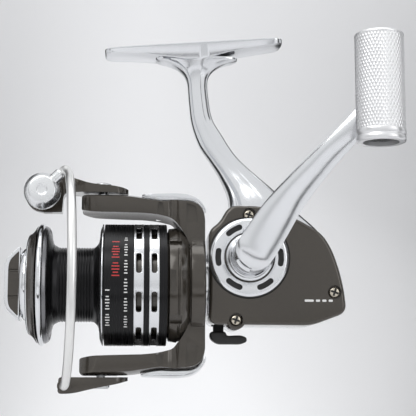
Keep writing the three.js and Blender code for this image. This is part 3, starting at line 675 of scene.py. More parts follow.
# ---- side cover with its trim ring, screws and a few plain engraved strokes
coverSettings = {"face": -12.6, "near": -1.15, "roll": 1.5, "wall": 1.8, "snout": 10.55, "bore": 5,
                 "boss": 8.2,
                 "bearing": 6.6, "post": 3, "counterbore": 2.3, "thread": 1.35}


def makeCover(s):
    face, near = s["face"], s["near"]
    cover = slabShape("sideCover", "y", housingOutline, face, near, s["roll"], 0, 8)
    joinOn(cover, earShape(face, near, 0.7, 0.0))
    cutAway(cover, slabShape("hollow", "y", cavityOutline, face + s["wall"], near + 1))
    posts = [rodShape("post", "y", face + 0.6, near, s["post"], p) for p in screwPlaces]
    joinOn(cover, rodShape("boss", "y", face + 0.4, -7.4, s["boss"], gearCentre, 64), *posts)
    tools = [rodShape("snoutRoom", "x", -4.4, 7.7, s["snout"], sides=72),
             rodShape("hubRoom", "y", -14, -7, s["bore"], gearCentre, 64),
             rodShape("bearingRoom", "y", -11.2, -7, s["bearing"], gearCentre, 64), leverRoom()]
    for place in screwPlaces:
        tools.append(rodShape("head", "y", face - 1, face + 1.9, s["counterbore"], place, 40))
        tools.append(rodShape("thread", "y", face, 2, s["thread"], place, 24))
    groove = [(face - 1, 12.9), (face - 1, 13.7), (face + 0.45, 13.4), (face + 0.45, 12.9)]
    tools.append(turnedShape("ringGroove", "y", groove, gearCentre))
    return cutAway(cover, *tools)


cover = makeCover(coverSettings)
softenEdges(cover, 0.16, 2, 40)
fit(cover, "body", "bronze", ["side_cover"], 32)

ringSettings = {"outer": 12.9, "inner": 8.3, "slotOuter": 11.25, "slotInner": 9.4, "slots": 6, "reach": 0.2}


# A slot that runs along an arc and has half-round ends
def kidneyOutline(s, middle):
    gx, gz, reach = gearCentre.x, gearCentre.z, s["reach"]
    between, endRadius = (s["slotOuter"] + s["slotInner"]) / 2, (s["slotOuter"] - s["slotInner"]) / 2
    outline = []
    for radius, sign in ((s["slotOuter"], 1), (s["slotInner"], -1)):
        outline += arcPoints(gx, gz, radius, middle - sign * reach, 2 * sign * reach, 14)
        edge = middle + sign * reach
        a, b = gx + between * math.cos(edge), gz + between * math.sin(edge)
        outline += arcPoints(a, b, endRadius, edge if sign > 0 else edge + math.pi, math.pi, 8)[1:-1]
    return outline


def makeTrimRing(s):
    ring = turnedShape("trimRing", "y", [(-13.95, s["inner"]), (-13.95, s["outer"] - 0.9, 0.3),
                                         (-13.3, s["outer"], 0.3), (-12.95, s["outer"]),
                                         (-12.95, s["inner"])], gearCentre, 144, 0.12)
    tools = []
    for i in range(s["slots"]):
        tools.append(slabShape("slot", "y", kidneyOutline(s, i * 2 * math.pi / s["slots"]), -15, -12))
    return cutAway(ring, *tools)


trimRing = makeTrimRing(ringSettings)
softenEdges(trimRing, 0.14, 2, 40)
fit(trimRing, "body", "chromeTurned", ["cover_ring"], 30)
ringSeat = turnedShape("ringSeat", "y", [(-12.93, 8.4), (-12.93, 13.3), (-12.62, 13.3), (-12.62, 8.4)],
                       gearCentre, 144)
fit(ringSeat, "body", "blackPlastic")

screwSettings = {"head": 1.85, "cross": 1.3, "wide": 0.34, "deep": 1.2}


def makeCrossScrew(name, s, place, face):
    head = turnedShape(name, "y", [(face, 0), (face, 1.2, 0.2), (face + 0.45, s["head"], 0.3),
                                   (face + 1.5, s["head"]), (face + 1.5, 1), (face + 14, 1),
                                   (face + 14.5, 0.6), (face + 14.5, 0)], place, 40, 0.1)
    c, w = s["cross"], s["wide"]
    low, high = face - 0.5, face + s["deep"]
    across = slabShape("across", "y", rectangle(place.x, place.z, c, w), low, high)
    upright = slabShape("upright", "y", rectangle(place.x, place.z, w, c), low, high)
    turnAbout(across, "Y", 0.35, place)
    turnAbout(upright, "Y", 0.35, place)
    return cutAway(head, joinOn(across, upright))


for i, place in enumerate(screwPlaces):
    screw = makeCrossScrew(f"coverScrew{i + 1}", screwSettings, place, coverSettings["face"] + 0.2)
    softenEdges(screw, 0.06, 1, 40)
    fit(screw, "body", "brass", [f"cover_screw_{i + 1}"])
    # A black disc sunk inside each screw head is painted shade: it darkens the bottom of the cross recess
    paintedShadeDisc = rodShape(f"crossPaintedShade{i + 1}", "y", coverSettings["face"] + 0.75, coverSettings["face"] + 1.3,
                    1.5, place)
    fit(paintedShadeDisc, "body", "blackPlastic")

markSettings = {"x": 36, "z": -6.2, "strokes": [(0, 3.0), (3.7, 1.4), (5.8, 1.4), (7.9, 1.4)], "tall": 0.75}


def makeStrokes(s):
    strokes = []
    face = coverSettings["face"]
    for start, length in s["strokes"]:
        bar = rectangle(s["x"] + start + length / 2, s["z"] + s["tall"] / 2, length / 2, s["tall"] / 2)
        outline = roundCorners(bar, 0.3, 3)
        strokes.append(slabShape("coverMarks", "y", outline, face - 0.03, face + 0.4, 0.02))
    return joinOn(strokes[0], *strokes[1:])


fit(makeStrokes(markSettings), "body", "satinSilver")
print("cover done")

# ---- anti-reverse lever under the front of the housing
leverSettings = {"shaft": 1.9, "paddle": 5.2}


def makeBackstop(s):
    paddle = slabShape("backstopLever", "y", roundCorners([
        (5.6, -15.5), (10.8, -15.5), (11.2, -16.9), (16, -16.7), (17.9, -17.5), (17.9, -18.9), (16, -19.7),
        (8, -19.7), (5.6, -17.9)], 1.3, 5), -s["paddle"] / 2, s["paddle"] / 2, 0.5, 0.5)
    stem = slabShape("stem", "x", [(-1.4, -17.5), (1.4, -17.5), (1.2, -8.3), (-1.2, -8.3)], 6.8, 10.2)
    hub = rodShape("hub", "x", 6.9, 10.2, s["shaft"], (0, 0, -8.3))
    return joinOn(paddle, stem, hub)


backstop = makeBackstop(leverSettings)
softenEdges(backstop, 0.15, 2, 40)
fit(backstop, "anti_reverse", "blackPlastic", ["anti_reverse_lever"])

# ---- handle: collar, hub, arm, knob
armAngle = math.atan2(pinPlace.z - gearCentre.z, pinPlace.x - gearCentre.x)
armReach = math.hypot(pinPlace.z - gearCentre.z, pinPlace.x - gearCentre.x)


# Drawn lying along +X from the gear's centre, then raised to the arm's angle
def raiseArm(obj):
    return turnAbout(obj, "Y", -armAngle, gearCentre)


hubSettings = {"radius": 6.1, "base": 6.6}


def makeHub(s):
    hub = turnedShape("handleHub", "y", [
        (-24.2, 0), (-24.2, 5, 0.3), (-23.4, 5.9, 0.4), (-20.6, s["radius"]), (-20.4, s["radius"] - 0.35),
        (-20, s["radius"] - 0.35), (-19.8, s["radius"]), (-18, s["radius"], 0.3), (-17, s["base"], 0.3),
        (-16.3, s["base"]), (-16.3, 2.4), (-20.2, 2.4), (-20.2, 0)], gearCentre, 96, 0.12)
    gx, gz = gearCentre.x, gearCentre.z
    tongue = boxShape("tongue", (gx - 4.2, -29.6, gz - 2.25), (gx + 4.2, -24, gz + 2.25))
    joinOn(hub, tongue)
    return raiseArm(cutAway(hub, rodShape("bore", "z", gz - 9, gz + 9, 1.35, (gx, -27.2, 0))))


fit(makeHub(hubSettings), "handle", "chrome", ["handle_hub"])

collar = turnedShape("hubCollar", "y", [
    (-15.9, 2.4), (-15.9, 6.6, 0.3), (-15.5, 6.9), (-15.1, 7.1), (-14.6, 7.8, 0.3), (-12.95, 7.8),
    (-12.95, 4.2), (-12.3, 4.2), (-12.3, 2.4)], gearCentre, 96, 0.12)
fit(collar, "handle", "chromeTurned", ["hub_collar"])

armSettings = {"start": -6.1, "end": 58.3, "rootRound": 6.1, "tipRound": 4.2, "crown": 1.3, "drop": 4.5}
armLower = smoothRun([(-6.1, -5.8), (2, -5.9), (10, -4.7), (20, -3.0), (35, -2.5), (48, -3.3), (58.3, -3.9)])
armUpper = smoothRun([(-6.1, 5.8), (2, 6.5), (12, 7.3), (22, 6.9), (35, 5.5), (48, 4.1), (58.3, 3.9)])
armFront = smoothRun([(-6.1, -31.8), (3, -33.4), (16, -37.0), (30, -42.0), (42, -46.4), (50, -48.2),
                      (58.3, -48.3)])
armBack = smoothRun([(-6.1, -24.8), (3, -25.4), (16, -31.8), (30, -37.4), (43, -42.2), (50, -43.8),
                     (58.3, -44.2)])


def makeArm(s):
    sections = []
    steps, across = 140, 12
    for i in range(steps + 1):
        along = s["start"] + (s["end"] - s["start"]) * (0.5 - 0.5 * math.cos(math.pi * i / steps))
        root = max(0, s["start"] + s["rootRound"] - along) / s["rootRound"]
        tip = max(0, along - s["end"] + s["tipRound"]) / s["tipRound"]
        cap = max(0.06, math.sqrt(max(0, 1 - root * root)) * math.sqrt(max(0, 1 - tip * tip)))
        low, high = armLower(along) * cap, armUpper(along) * cap
        front = armFront(along) + s["drop"] * (1 - math.sqrt(max(0, 1 - root * root)))
        back = armBack(along)
        middle, half = (low + high) / 2, (high - low) / 2
        x, z = gearCentre.x + along, gearCentre.z
        ring = []
        for k in range(across + 1):
            v = -1 + 2 * k / across
            v = math.sin(v * math.pi / 2)
            ring.append((x, front + s["crown"] * abs(v) ** 3, z + middle + half * v))
        roundness = min(1.0, half * 0.4)
        for y, v in ((front + s["crown"] + 0.5, 1), (back - 0.9, 1),
                     (back - 0.2, 1 - roundness * 0.3 / half), (back, 1 - roundness / half),
                     (back, -1 + roundness / half), (back - 0.2, -1 + roundness * 0.3 / half),
                     (back - 0.9, -1), (front + s["crown"] + 0.5, -1)):
            ring.append((x, y, z + middle + half * v))
        sections.append(ring)
    arm = loftShape("handleArm", sections)
    gx, gz = gearCentre.x, gearCentre.z
    room = boxShape("tongueRoom", (gx - 9, -30, gz - 2.6), (gx + 4.6, -22, gz + 2.6))
    pin = rodShape("pinRoom", "z", gz - 9, gz + 9, 1.35, (gx, -27.2, 0))
    knobBore = rodShape("knobBore", "y", -50, -40, 1.75, (gx + armReach, 0, gz))
    return raiseArm(cutAway(arm, room, pin, knobBore))


arm = makeArm(armSettings)
softenEdges(arm, 0.2, 2, 60)
fit(arm, "handle", "polished", ["handle_arm"], 55)

washer = turnedShape("knobWasher", "y", [
    (-49.6, 1.75), (-49.6, 4.4, 0.2), (-49.2, 4.6), (-48.6, 4.6), (-48.6, 1.75)], pinPlace, 64, 0.15)
fit(washer, "handle", "chrome", ["knob_washer"])

knobSettings = {"radius": 7.4, "half": 16.65, "wall": 2.0, "pitch": 1.05, "depth": 0.22, "plain": -13.2,
                "crown": 15.8}


def makeGrip(s):
    half, radius = s["half"], s["radius"]
    rows = [(-half, radius - s["wall"]), (-half, radius - 0.5), (-half + 0.15, radius - 0.15),
            (-half + 0.5, radius), (-half + 1.6, radius), (-half + 1.75, radius - 0.2),
            (-half + 2.05, radius - 0.2), (-half + 2.2, radius), (s["plain"], radius)]
    steps = int((s["crown"] - s["plain"]) / 0.125)
    for i in range(1, steps + 1):
        rows.append((s["plain"] + (s["crown"] - s["plain"]) * i / steps, radius))
    rows += [(half - 0.35, radius - 0.15), (half - 0.1, radius - 0.6), (half, radius - 1.1),
             (half, radius - s["wall"]), (half - 1.6, radius - s["wall"]), (half - 1.6, 0),
             (-half + 2.6, 0), (-half + 2.6, radius - s["wall"])]
    count = round(2 * math.pi * radius / s["pitch"])

    def tooth(value):
        return 1 - abs(2 * (value % 1) - 1)

    def knurl(along, r, angle):
        if r < radius - 0.01 or not s["plain"] < along < s["crown"]:
            return 0
        a, b = angle * count / (2 * math.pi), along / s["pitch"]
        fade = min(1, (along - s["plain"]) / 0.3, (s["crown"] - along) / 0.3)
        return -s["depth"] * fade * (1 - min(tooth(a + b / 2), tooth(a - b / 2)))

    grip = turnedShape("knobGrip", "z", rows, knobCentre, count * 8, 0, knurl)
    return cutAway(grip, rodShape("pinBore", "y", -2.6, 9, 1.95, (pinPlace.x, knobCentre.y, pinPlace.z), 32))


grip = makeGrip(knobSettings)
fit(grip, "knob", "knurled", ["knob_grip"], 60)
for side, sign in (("lower", -1), ("upper", 1)):
    low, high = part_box(f"knob_cap_{side}")
    base, top = (high.z, low.z) if sign < 0 else (low.z, high.z)
    base, top = base / mm - spoolAxis, top / mm - spoolAxis
    dish = turnedShape(f"knobCap{side.title()}", "z", [
        (base, 0), (base, 5), (top, 5, 0.15), (top, 4.2, 0.15), (top - 0.35 * sign, 3.4),
        (top - 0.4 * sign, 0)], (knobCentre.x, knobCentre.y, 0), 64, 0.1)
    fit(dish, "knob", "blackPlastic", [f"knob_cap_{side}"])

lockSettings = {"radius": 6.8, "flutes": 24, "depth": 0.35}


def makeLockCap(s):
    def flute(along, r, angle):
        if r <= 5.9 or not 12.8 < along < 15.4:
            return 0
        return -s["depth"] * (0.5 - 0.5 * math.cos(angle * s["flutes"]))

    return turnedShape("lockCap", "y", [
        (12.9, 2.3), (12.9, 6.2), (13.2, s["radius"]), (14.2, s["radius"]), (15.3, s["radius"] - 0.3),
        (15.8, 6.1), (16.8, 5, 0.4), (17, 3.4, 0.2), (16.2, 2.8), (16.2, 0), (15.6, 0),
        (15.6, 2.3)], gearCentre, 192, 0, flute)


fit(makeLockCap(lockSettings), "handle", "chrome", ["handle_lock_cap"])
print("handle done")

# ---- rotor with its two arms, and the bright strips outside their roots
rotorSettings = {"width": 18.4, "outer": 30.2, "inner": 25.1, "tip": -37.4,
                 "pocketAngles": (50, 130, 230, 310)}


def makeRotor(s):
    outer, inner, tip = s["outer"], s["inner"], s["tip"]
    shell = turnedShape("rotor", "x", [
        (tip, inner, 0.5), (tip, outer - 0.6, 0.8), (-36.4, outer, 0.8), (-22, outer, 2),
        (-16.8, outer - 0.7, 2), (-11, 28.7, 1), (-6.5, 28.9, 1), (-1.2, 28.8, 1.5), (1.2, 27.9, 1.2),
        (2.8, 26.4, 1.2), (3.6, 23.6, 1), (3.6, 11.4, 0.3), (-0.4, 11.4, 0.3), (-1.2, 15, 1.5),
        (-2.4, 17.5, 2), (-4.8, 21, 3), (-8, 23.6, 3), (-11.5, 24.5, 2), (-16.7, 25, 2),
        (-24.6, inner, 2)], sides=240, rounding=0.2)
    half = s["width"] / 2
    plan = roundCorners(bothSides([(tip - 0.6, -5, 4), (-34, -half + 0.9, 4), (-24, -half, 6), (-9, -half, 2),
                                   (-6.6, -half + 1.5, 1.5), (-4.4, -half, 1.5), (5, -half, 0)]), 0, 7)
    keepInside(shell, slabShape("plan", "z", plan, -34, 34))
    drum = turnedShape("drum", "x", [
        (-20, 16.4), (-20, 17.8, 0.3), (-8.6, 17.8), (-8.4, 18.9, 0.3), (-5.6, 19.2, 0.2), (-5.4, 18.8),
        (-5.1, 18.8), (-4.9, 19.2, 0.2), (-4.6, 19.2, 0.8), (-3, 18, 1), (-1.6, 16.2, 0.3),
        (-1.45, 15.7, 0.1), (-1.25, 15.7, 0.1), (-1.1, 17, 0.3), (3.1, 17, 0.6), (3.6, 16.4, 0.3),
        (3.6, 11.4), (-3.6, 11.2), (-5.6, 9.4), (-5.6, 3.6), (-9.4, 3.6),
        (-9.4, 16.4)], sides=192, rounding=0.15)
    joinOn(shell, drum)
    tools = []
    for sign in (-1, 1):
        tools.append(rodShape("bore", "z", *sorted((24 * sign, 32 * sign)), 1.75, (pivotPlace.x, 0, 0)))
        tools.append(boxShape("springRoom", (-25, -3.2, 26.6 if sign > 0 else -32),
                              (-7, 3.2, 32 if sign > 0 else -26.8)))
        # a recessed panel in each side of the arm's rear corner, and a waist before it
        for side in (-1, 1):
            panel = roundCorners([(-2.6, sign * 20.4), (1.2, sign * 20.4), (0.6, sign * 25.6),
                                  (-2.6, sign * 26.6)], 0.6, 4)
            tools.append(slabShape("panel", "y", panel, side * half - 0.7, side * half + 0.7))
            waist = roundCorners([(-12.6, sign * 23), (-9.8, sign * 23), (-10.6, sign * 26.8),
                                  (-12, sign * 26.8)], 0.7, 4)
            tools.append(slabShape("waist", "y", waist, side * half - 1.4, side * half + 1))
    for angle in s["pocketAngles"]:
        pocket = boxShape("pocket", (-8.2, -1.7, 17.9), (-4.2, 1.7, 21))
        tools.append(turnAbout(pocket, "X", math.radians(angle)))
    for angle in (90, 270):
        pocket = boxShape("keyway", (-7.9, -3.4, 18.2), (-6.3, 3.4, 21))
        tools.append(turnAbout(pocket, "X", math.radians(angle)))
    return cutAway(shell, *tools)


rotor = makeRotor(rotorSettings)
softenEdges(rotor, 0.3, 3, 38)
fit(rotor, "rotor", "bronze", ["rotor"], 32)


def makeStrip(name, sign):
    shell = turnedShape(name, "x", [
        (-17.4, 30.1), (-17, 30.6, 0.3), (-5.5, 31, 4), (-1, 30.5, 2), (2, 28.9, 1.5), (4, 26, 1),
        (4, 24.6), (3.95, 24.6), (3.2, 26.8), (1.6, 28.4), (-1, 29.3), (-6.5, 29.5),
        (-11.2, 29.3)], sides=240, rounding=0.05)
    plan = roundCorners(bothSides([(-18, -5, 3), (-15, -6.6, 2), (5, -6.6)]), 0, 6)
    keepInside(shell, slabShape("plan", "z", plan, *sorted((20 * sign, 34 * sign))))
    dimple = rodShape("dimple", "z", *sorted((30.55 * sign, 33 * sign)), 1.1, (-10.5, 0, 0), 24)
    return cutAway(shell, dimple)


for side, sign in (("upper", 1), ("lower", -1)):
    strip = makeStrip(f"rotorCover{side.title()}", sign)
    softenEdges(strip, 0.18, 2, 40)
    fit(strip, "rotor", "polished", [f"rotor_cover_{side}"], 30)
    head = turnedShape(f"bailScrew{side.title()}", "z", [
        (25.9 * sign, 0), (25.9 * sign, 1.4), (32.95 * sign, 1.4), (32.95 * sign, 2.9, 0.1),
        (33.9 * sign, 2.9, 0.3), (34.4 * sign, 2.3, 0.3), (34.4 * sign, 0)], (pivotPlace.x, 0, 0), 48, 0.1)
    groove = slabShape("groove", "z", rectangle(pivotPlace.x, 0, 2.2, 0.3), *sorted((33.8 * sign, 36 * sign)))
    fit(cutAway(head, groove), "rotor", "steel", [f"bail_screw_{side}"])
print("rotor done")

# ---- bail: two levers on the arm tips, the wire, the roller and its cap
px, rx, rz = pivotPlace.x, rollerPlace.x, rollerPlace.z


def makeBailArm():
    side = roundCorners([(px + a, b, *c) for a, b, *c in [
        (9.4, 30.6, 0.5), (-13, 30.6, 2), (-13.5, 24), (-27, 24), (-27, 37), (-13.4, 37, 1),
        (-10.7, 35.8, 2), (-3.9, 33.4, 3), (4, 32.9, 3), (9.4, 32, 0.5)]], 0, 6)
    plan = roundCorners([(px + a, b, *c) for a, b, *c in [
        (9, 0, 2), (7, -4.8, 3), (0, -6.6, 4), (-8, -5.8, 4), (-14, -3.4, 3), (-27, -3.4), (-27, 0.8),
        (-14, 0.8, 3), (-8, 4.4, 4), (0, 6.6, 4), (7, 4.8, 3)]], 0, 7)
    lever = keepInside(slabShape("bailArm", "y", side, -8, 8), slabShape("plan", "z", plan, 20, 40))
    cutAway(lever, boxShape("beyond", (px - 30, -8, 20), (rx, 8, 40)))
    joinOn(lever, slabShape("head", "y", circlePoints(rx, rz, 6.15, 72), -3.4, 0.8, 0.5, 0.5))
    return cutAway(lever, rodShape("bore", "z", 20, 40, 1.75, (px, 0, 0)),
                   rodShape("counterbore", "z", 32.6, 40, 3.3, (px, 0, 0), 48),
                   rodShape("rollerBore", "y", -8, 4, 1.75, rollerPlace))


def makeBailLever():
    side = roundCorners([(px + a, b, *c) for a, b, *c in [
        (9.6, -30.6, 0.5), (-13.6, -30.6, 1), (-14, -36, 1.5), (-9.2, -35.9, 2), (-1, -34, 3),
        (5.5, -32.8, 3), (9.6, -31.6, 0.5)]], 0, 6)
    plan = roundCorners([(px + a, b, *c) for a, b, *c in [
        (9.4, 0, 2), (7, -4.8, 3), (0, -6.6, 4), (-8, -6.4, 4), (-14, -5.6, 3), (-14, 0, 2), (-8, 4.4, 4),
        (0, 6.6, 4), (7, 4.8, 3)]], 0, 7)
    lever = keepInside(slabShape("bailLever", "y", side, -8, 8), slabShape("plan", "z", plan, -40, -20))
    joinOn(lever, rodShape("socket", "y", -7, -0.8, 2.3, (px - 11.6, 0, -33.4)))
    return cutAway(lever, rodShape("bore", "z", -40, -20, 1.75, (px, 0, 0)),
                   rodShape("counterbore", "z", -40, -32.6, 3.3, (px, 0, 0), 48))


for lever, node in ((makeBailArm(), "bail_arm"), (makeBailLever(), "bail_lever")):
    softenEdges(lever, 0.35, 3, 35)
    fit(lever, "bail", "bronze", [node], 32)

wireSettings = {"radius": 1.45, "top": 36, "bottom": 33.5, "bulge": 41, "start": 76, "sweep": 166}


def makeWire(s):
    points = [(px - 13, -11.2, 36.5), (px - 11.9, -12.3, 36.9)]
    steps = 12
    for i in range(steps + 1):
        angle = math.radians(s["start"] - s["sweep"] * i / steps)
        reach = math.cos(angle)
        height = math.sin(angle) * (s["top"] if angle > 0 else s["bottom"])
        points.append((px - 11.7 + 3.8 * reach, -7.4 - (s["bulge"] - 7.4) * reach, height))
    return barShape("bailWire", splinePath(points, 220), s["radius"], 24)


fit(makeWire(wireSettings), "bail", "satinSilver", ["bail_wire"], 60)


rollerCapSettings = {"radius": 6.1}


def makeRollerCap(s):
    dome = turnedShape("rollerCap", "y", [
        (-12.3, 0), (-12.3, 1.5, 0.2), (-12.7, 1.9, 0.2), (-12.5, 4.3, 0.5), (-11.9, 4.8, 0.3),
        (-11.6, 5.0, 0.2), (-9.6, s["radius"], 0.8), (-7.7, s["radius"], 0.3), (-7.7, 3), (-7.4, 1.75),
        (-10.4, 1.75), (-10.4, 0)], rollerPlace, 96, 0.12)
    stub = barShape("stub", [Vector((px - 17.6, -10, 32.4)), Vector((px - 15.6, -10.5, 34.1)),
                             Vector((px - 13.7, -11, 35.8))], 1.9, 28)
    return joinOn(dome, stub)


rollerCap = makeRollerCap(rollerCapSettings)
softenEdges(rollerCap, 0.15, 2, 50)
fit(rollerCap, "bail", "chromeSoft", ["roller_cap"], 32)
roller = turnedShape("lineRoller", "y", [
    (-7.35, 1.75), (-7.35, 3.9, 0.2), (-6.4, 3.3, 0.6), (-4.7, 3.3, 0.6), (-3.75, 3.9, 0.2), (-3.75, 1.75)],
    rollerPlace, 64, 0.1)
fit(roller, "line_roller", "chrome", ["line_roller"])
rollerScrew = turnedShape("rollerScrew", "y", [
    (-10, 0), (-10, 1.4), (1.1, 1.4), (1.1, 2.9, 0.1), (1.8, 2.9, 0.3), (2.2, 2.3, 0.3), (2.2, 0)],
    rollerPlace, 48, 0.1)
rollerSlot = slabShape("slot", "y", rectangle(rx, rz, 2, 0.3), 1.6, 4)
fit(cutAway(rollerScrew, rollerSlot), "bail", "steel", ["roller_screw"])
print("bail done")

# ---- spool: turned core, bright bands with slots, lips, and plain tick marks on the skirt
spoolSettings = {"radius": 20.4, "wall": 1.5, "front": -30, "rear": -9, "slots": 10, "phase": 2,
                 "slot": (1.9, 6.8)}


def slotTools(s, low, high):
    tools = []
    wide, long = s["slot"]
    for middle in (-18.2, -13.2):
        for i in range(s["slots"]):
            outline = roundCorners(rectangle(middle, 0, wide / 2, long / 2), 0.9, 5)
            tool = slabShape("slotTool", "z", outline, low, high)
            tools.append(turnAbout(tool, "X", math.radians(i * 360 / s["slots"] + s["phase"])))
    return tools


def makeSpoolCore(s):
    r, wall, front, rear = s["radius"], s["wall"], s["front"], s["rear"]
    profile = [(-53.4, 9.8), (-53.4, 15.8), (-52.6, 17.0, 0.3), (-50, 18.3, 0.3), (-47.9, 18.1, 0.3),
               (-46.5, 13.4, 0.6), (-44.7, 12.4, 0.8)]
    place = -44.2
    while place < -33.6:
        profile += [(place, 12.4, 0.1), (place + 0.12, 12.2, 0.1), (place + 0.36, 12.2, 0.1),
                    (place + 0.48, 12.4, 0.1)]
        place += 0.9
    profile += [(-33, 12.4, 0.8), (-31.5, 13.8, 1), (-31, 17, 0.5), (front + 0.5, 18.6, 0.2),
                (front + 0.5, r - 0.1, 0.2), (-19.9, r - 0.1, 0), (-19.8, r - 0.45, 0),
                (-16.6, r - 0.45, 0), (-16.5, r - 0.1, 0), (-14.9, r - 0.1, 0), (-14.8, r - 0.45, 0),
                (-11.6, r - 0.45, 0), (-11.5, r - 0.1, 0), (rear, r - 0.1, 0.3), (rear, r - wall, 0.2),
                (-26.4, r - wall, 0.5), (-29, 16, 0.5), (-29.4, 10.8, 0.5), (-28.8, 4.6), (-25.6, 4.2),
                (-25.6, 1.95), (-44, 1.95), (-44, 9.8)]
    core = turnedShape("spoolCore", "x", profile, sides=240, rounding=0.1)
    return cutAway(core, *slotTools(s, r - wall - 2, r + 2))


core = makeSpoolCore(spoolSettings)
fit(core, "spool", "blackAnodised", ["spool"], 30)


def makeBand(name, s, low, high):
    r = s["radius"]
    band = turnedShape(name, "x", [(low, r - 0.44), (low, r - 0.02), (high, r - 0.02), (high, r - 0.44)],
                       sides=240, rounding=0.08)
    return cutAway(band, *slotTools(s, r - 2, r + 2))


for name, low, high in (("frontBand", -19.78, -16.62), ("rearBand", -14.78, -11.62)):
    band = makeBand(name, spoolSettings, low, high)
    softenEdges(band, 0.1, 2, 50)
    fit(band, "spool", "chromeTurned", ["spool"], 30)

frontRings = [
    ("spoolRimInner", [(-53.38, 13.3), (-54.4, 13.4), (-54.9, 15.6, 0.3), (-54.5, 16.6, 0.3), (-53.6, 16.7),
                       (-53.38, 15.9)],
     "chrome", "chrome", "spool"),
    ("spoolFace", [(-54.3, 16.75), (-53.6, 17.0), (-52.7, 18.0), (-51.9, 19.3, 0.2), (-51.6, 19.6, 0.2),
                   (-52.2, 17.7), (-52.65, 17.05), (-53.5, 16.75)],
     "bronze_plastic", "bronzeDark", "spool"),
    ("spoolLipFront", [(-52, 17.75), (-51.2, 19.6, 0.4), (-50.6, 20.4, 0.3), (-49.7, 20.4, 0.4),
                       (-49.2, 19.7, 0.2), (-49.6, 18.85)],
     "chrome", "chrome", "spool_lip_front"),
    ("spoolFlangeRear", [(-49.5, 18.78), (-49.1, 19.6), (-48.0, 19.0, 0.2), (-47.6, 18.4, 0.2),
                         (-47.85, 18.3), (-49.2, 18.5)],
     "black_anodised", "greyAnodised", "spool_lip_front"),
    ("spoolLipRear", [(-30.9, 19), (-30.7, 19.4, 0.2), (-30.2, 20.4, 0.3), (-29.85, 20.4, 0.1), (-29.85, 19)],
     "chrome", "chrome", "spool_lip_rear"),
]
for name, profile, slotName, finishName, node in frontRings:
    made = turnedShape(name, "x", profile, sides=240, rounding=0.06)
    fit(made, "spool", finishName, [node], 30)

# Rows of marks on the skirt: colour, place along the axis, stroke length, first and last angle
tickSettings = {"thick": 1.1, "step": 2.9, "rows": [
    ("pale", -28.2, 1.4, -44, -9), ("red", -25.7, 2.5, 4, 41), ("pale", -22.4, 1.1, -46, 46)]}


# A raised stroke that follows the skirt's curve, between two angles about the axis
def makeTick(name, x, start, end, wide, radius):
    steps = 12
    vertices = []
    for depth in (radius - 0.3, radius + 0.03):
        for edge in (x - wide / 2, x + wide / 2):
            for i in range(steps + 1):
                angle = start + (end - start) * i / steps
                vertices.append((edge, -depth * math.cos(angle), depth * math.sin(angle)))
    n = steps + 1
    faces = []
    for i in range(steps):
        a, b, c, d = i, n + i, 2 * n + i, 3 * n + i
        faces += [(a, a + 1, b + 1, b), (c, c + 1, d + 1, d), (a, a + 1, c + 1, c), (b, b + 1, d + 1, d)]
    faces += [(0, n, 3 * n, 2 * n), (steps, n + steps, 3 * n + steps, 2 * n + steps)]
    return newObject(name, vertices, faces)


def makeTicks(s, colour, radius):
    strokes = []
    for kind, x, long, first, last in s["rows"]:
        for i in range(int((last - first) / s["step"]) + 1):
            angle = first + i * s["step"]
            if kind == colour and i % 6 != 5:
                reach = long * (0.7 if i % 3 == 1 else 1)
                start, end = math.radians(angle - s["thick"] / 2), math.radians(angle + s["thick"] / 2)
                strokes.append(makeTick(colour + "Marks", x, start, end, reach, radius))
    return joinOn(strokes[0], *strokes[1:])


for colour, finishName in (("pale", "markPale"), ("red", "markRed")):
    marks = makeTicks(tickSettings, colour, spoolSettings["radius"] - 0.1)
    fit(marks, "spool", finishName)
print("spool done")

# ---- drag knob: a dial in a bright rim, with a bright-edged grip bar across its front
dragSettings = {"half": 4.6, "rim": 12.2, "furrows": (-4.4, 4.4)}
barCorners = [(-57.4, -12.2, 0.2), (-58.2, -11.9, 0.5), (-61.7, -8.4, 2.2), (-62.4, -6, 2.2),
              (-62.4, 6, 2.2), (-61.7, 8.4, 2.2), (-58.2, 11.9, 0.5), (-57.4, 12.2)]
panelCorners = bothSides([(-57.8, -10.8, 0.6), (-60.7, -7.8, 1.6), (-61.2, -5.4, 1.4)])


def makeGripBar(s):
    edge = slabShape("gripBarEdge", "y", roundCorners(barCorners, 0.3, 6), -s["half"], s["half"])
    for sign in (-1, 1):
        tool = slabShape("panelRoom", "y", roundCorners(panelCorners, 0.3, 6),
                         *sorted((sign * (s["half"] - 0.6), sign * (s["half"] + 1))))
        cutAway(edge, tool)
    return edge


# Two furrows cut the panel's face into three facets
def makeGripPanel(s, sign):
    panel = slabShape("gripPanel", "y", roundCorners(panelCorners, 0.3, 6),
                      *sorted((sign * (s["half"] - 0.57), sign * (s["half"] - 0.05))))
    tools = []
    for z in s["furrows"]:
        tools.append(rodShape("furrow", "x", -64, -56, 0.42, (0, sign * (s["half"] - 0.05), z), 16))
    return cutAway(panel, *tools)


def makeDial():
    return turnedShape("dragKnob", "x", [
        (-53.8, 2.3), (-53.8, 9.2), (-54.2, 9.8, 0.3), (-56.8, 9.8, 0.4), (-57.35, 9.2, 0.3),
        (-57.35, 2.3)],
        sides=192, rounding=0.2)


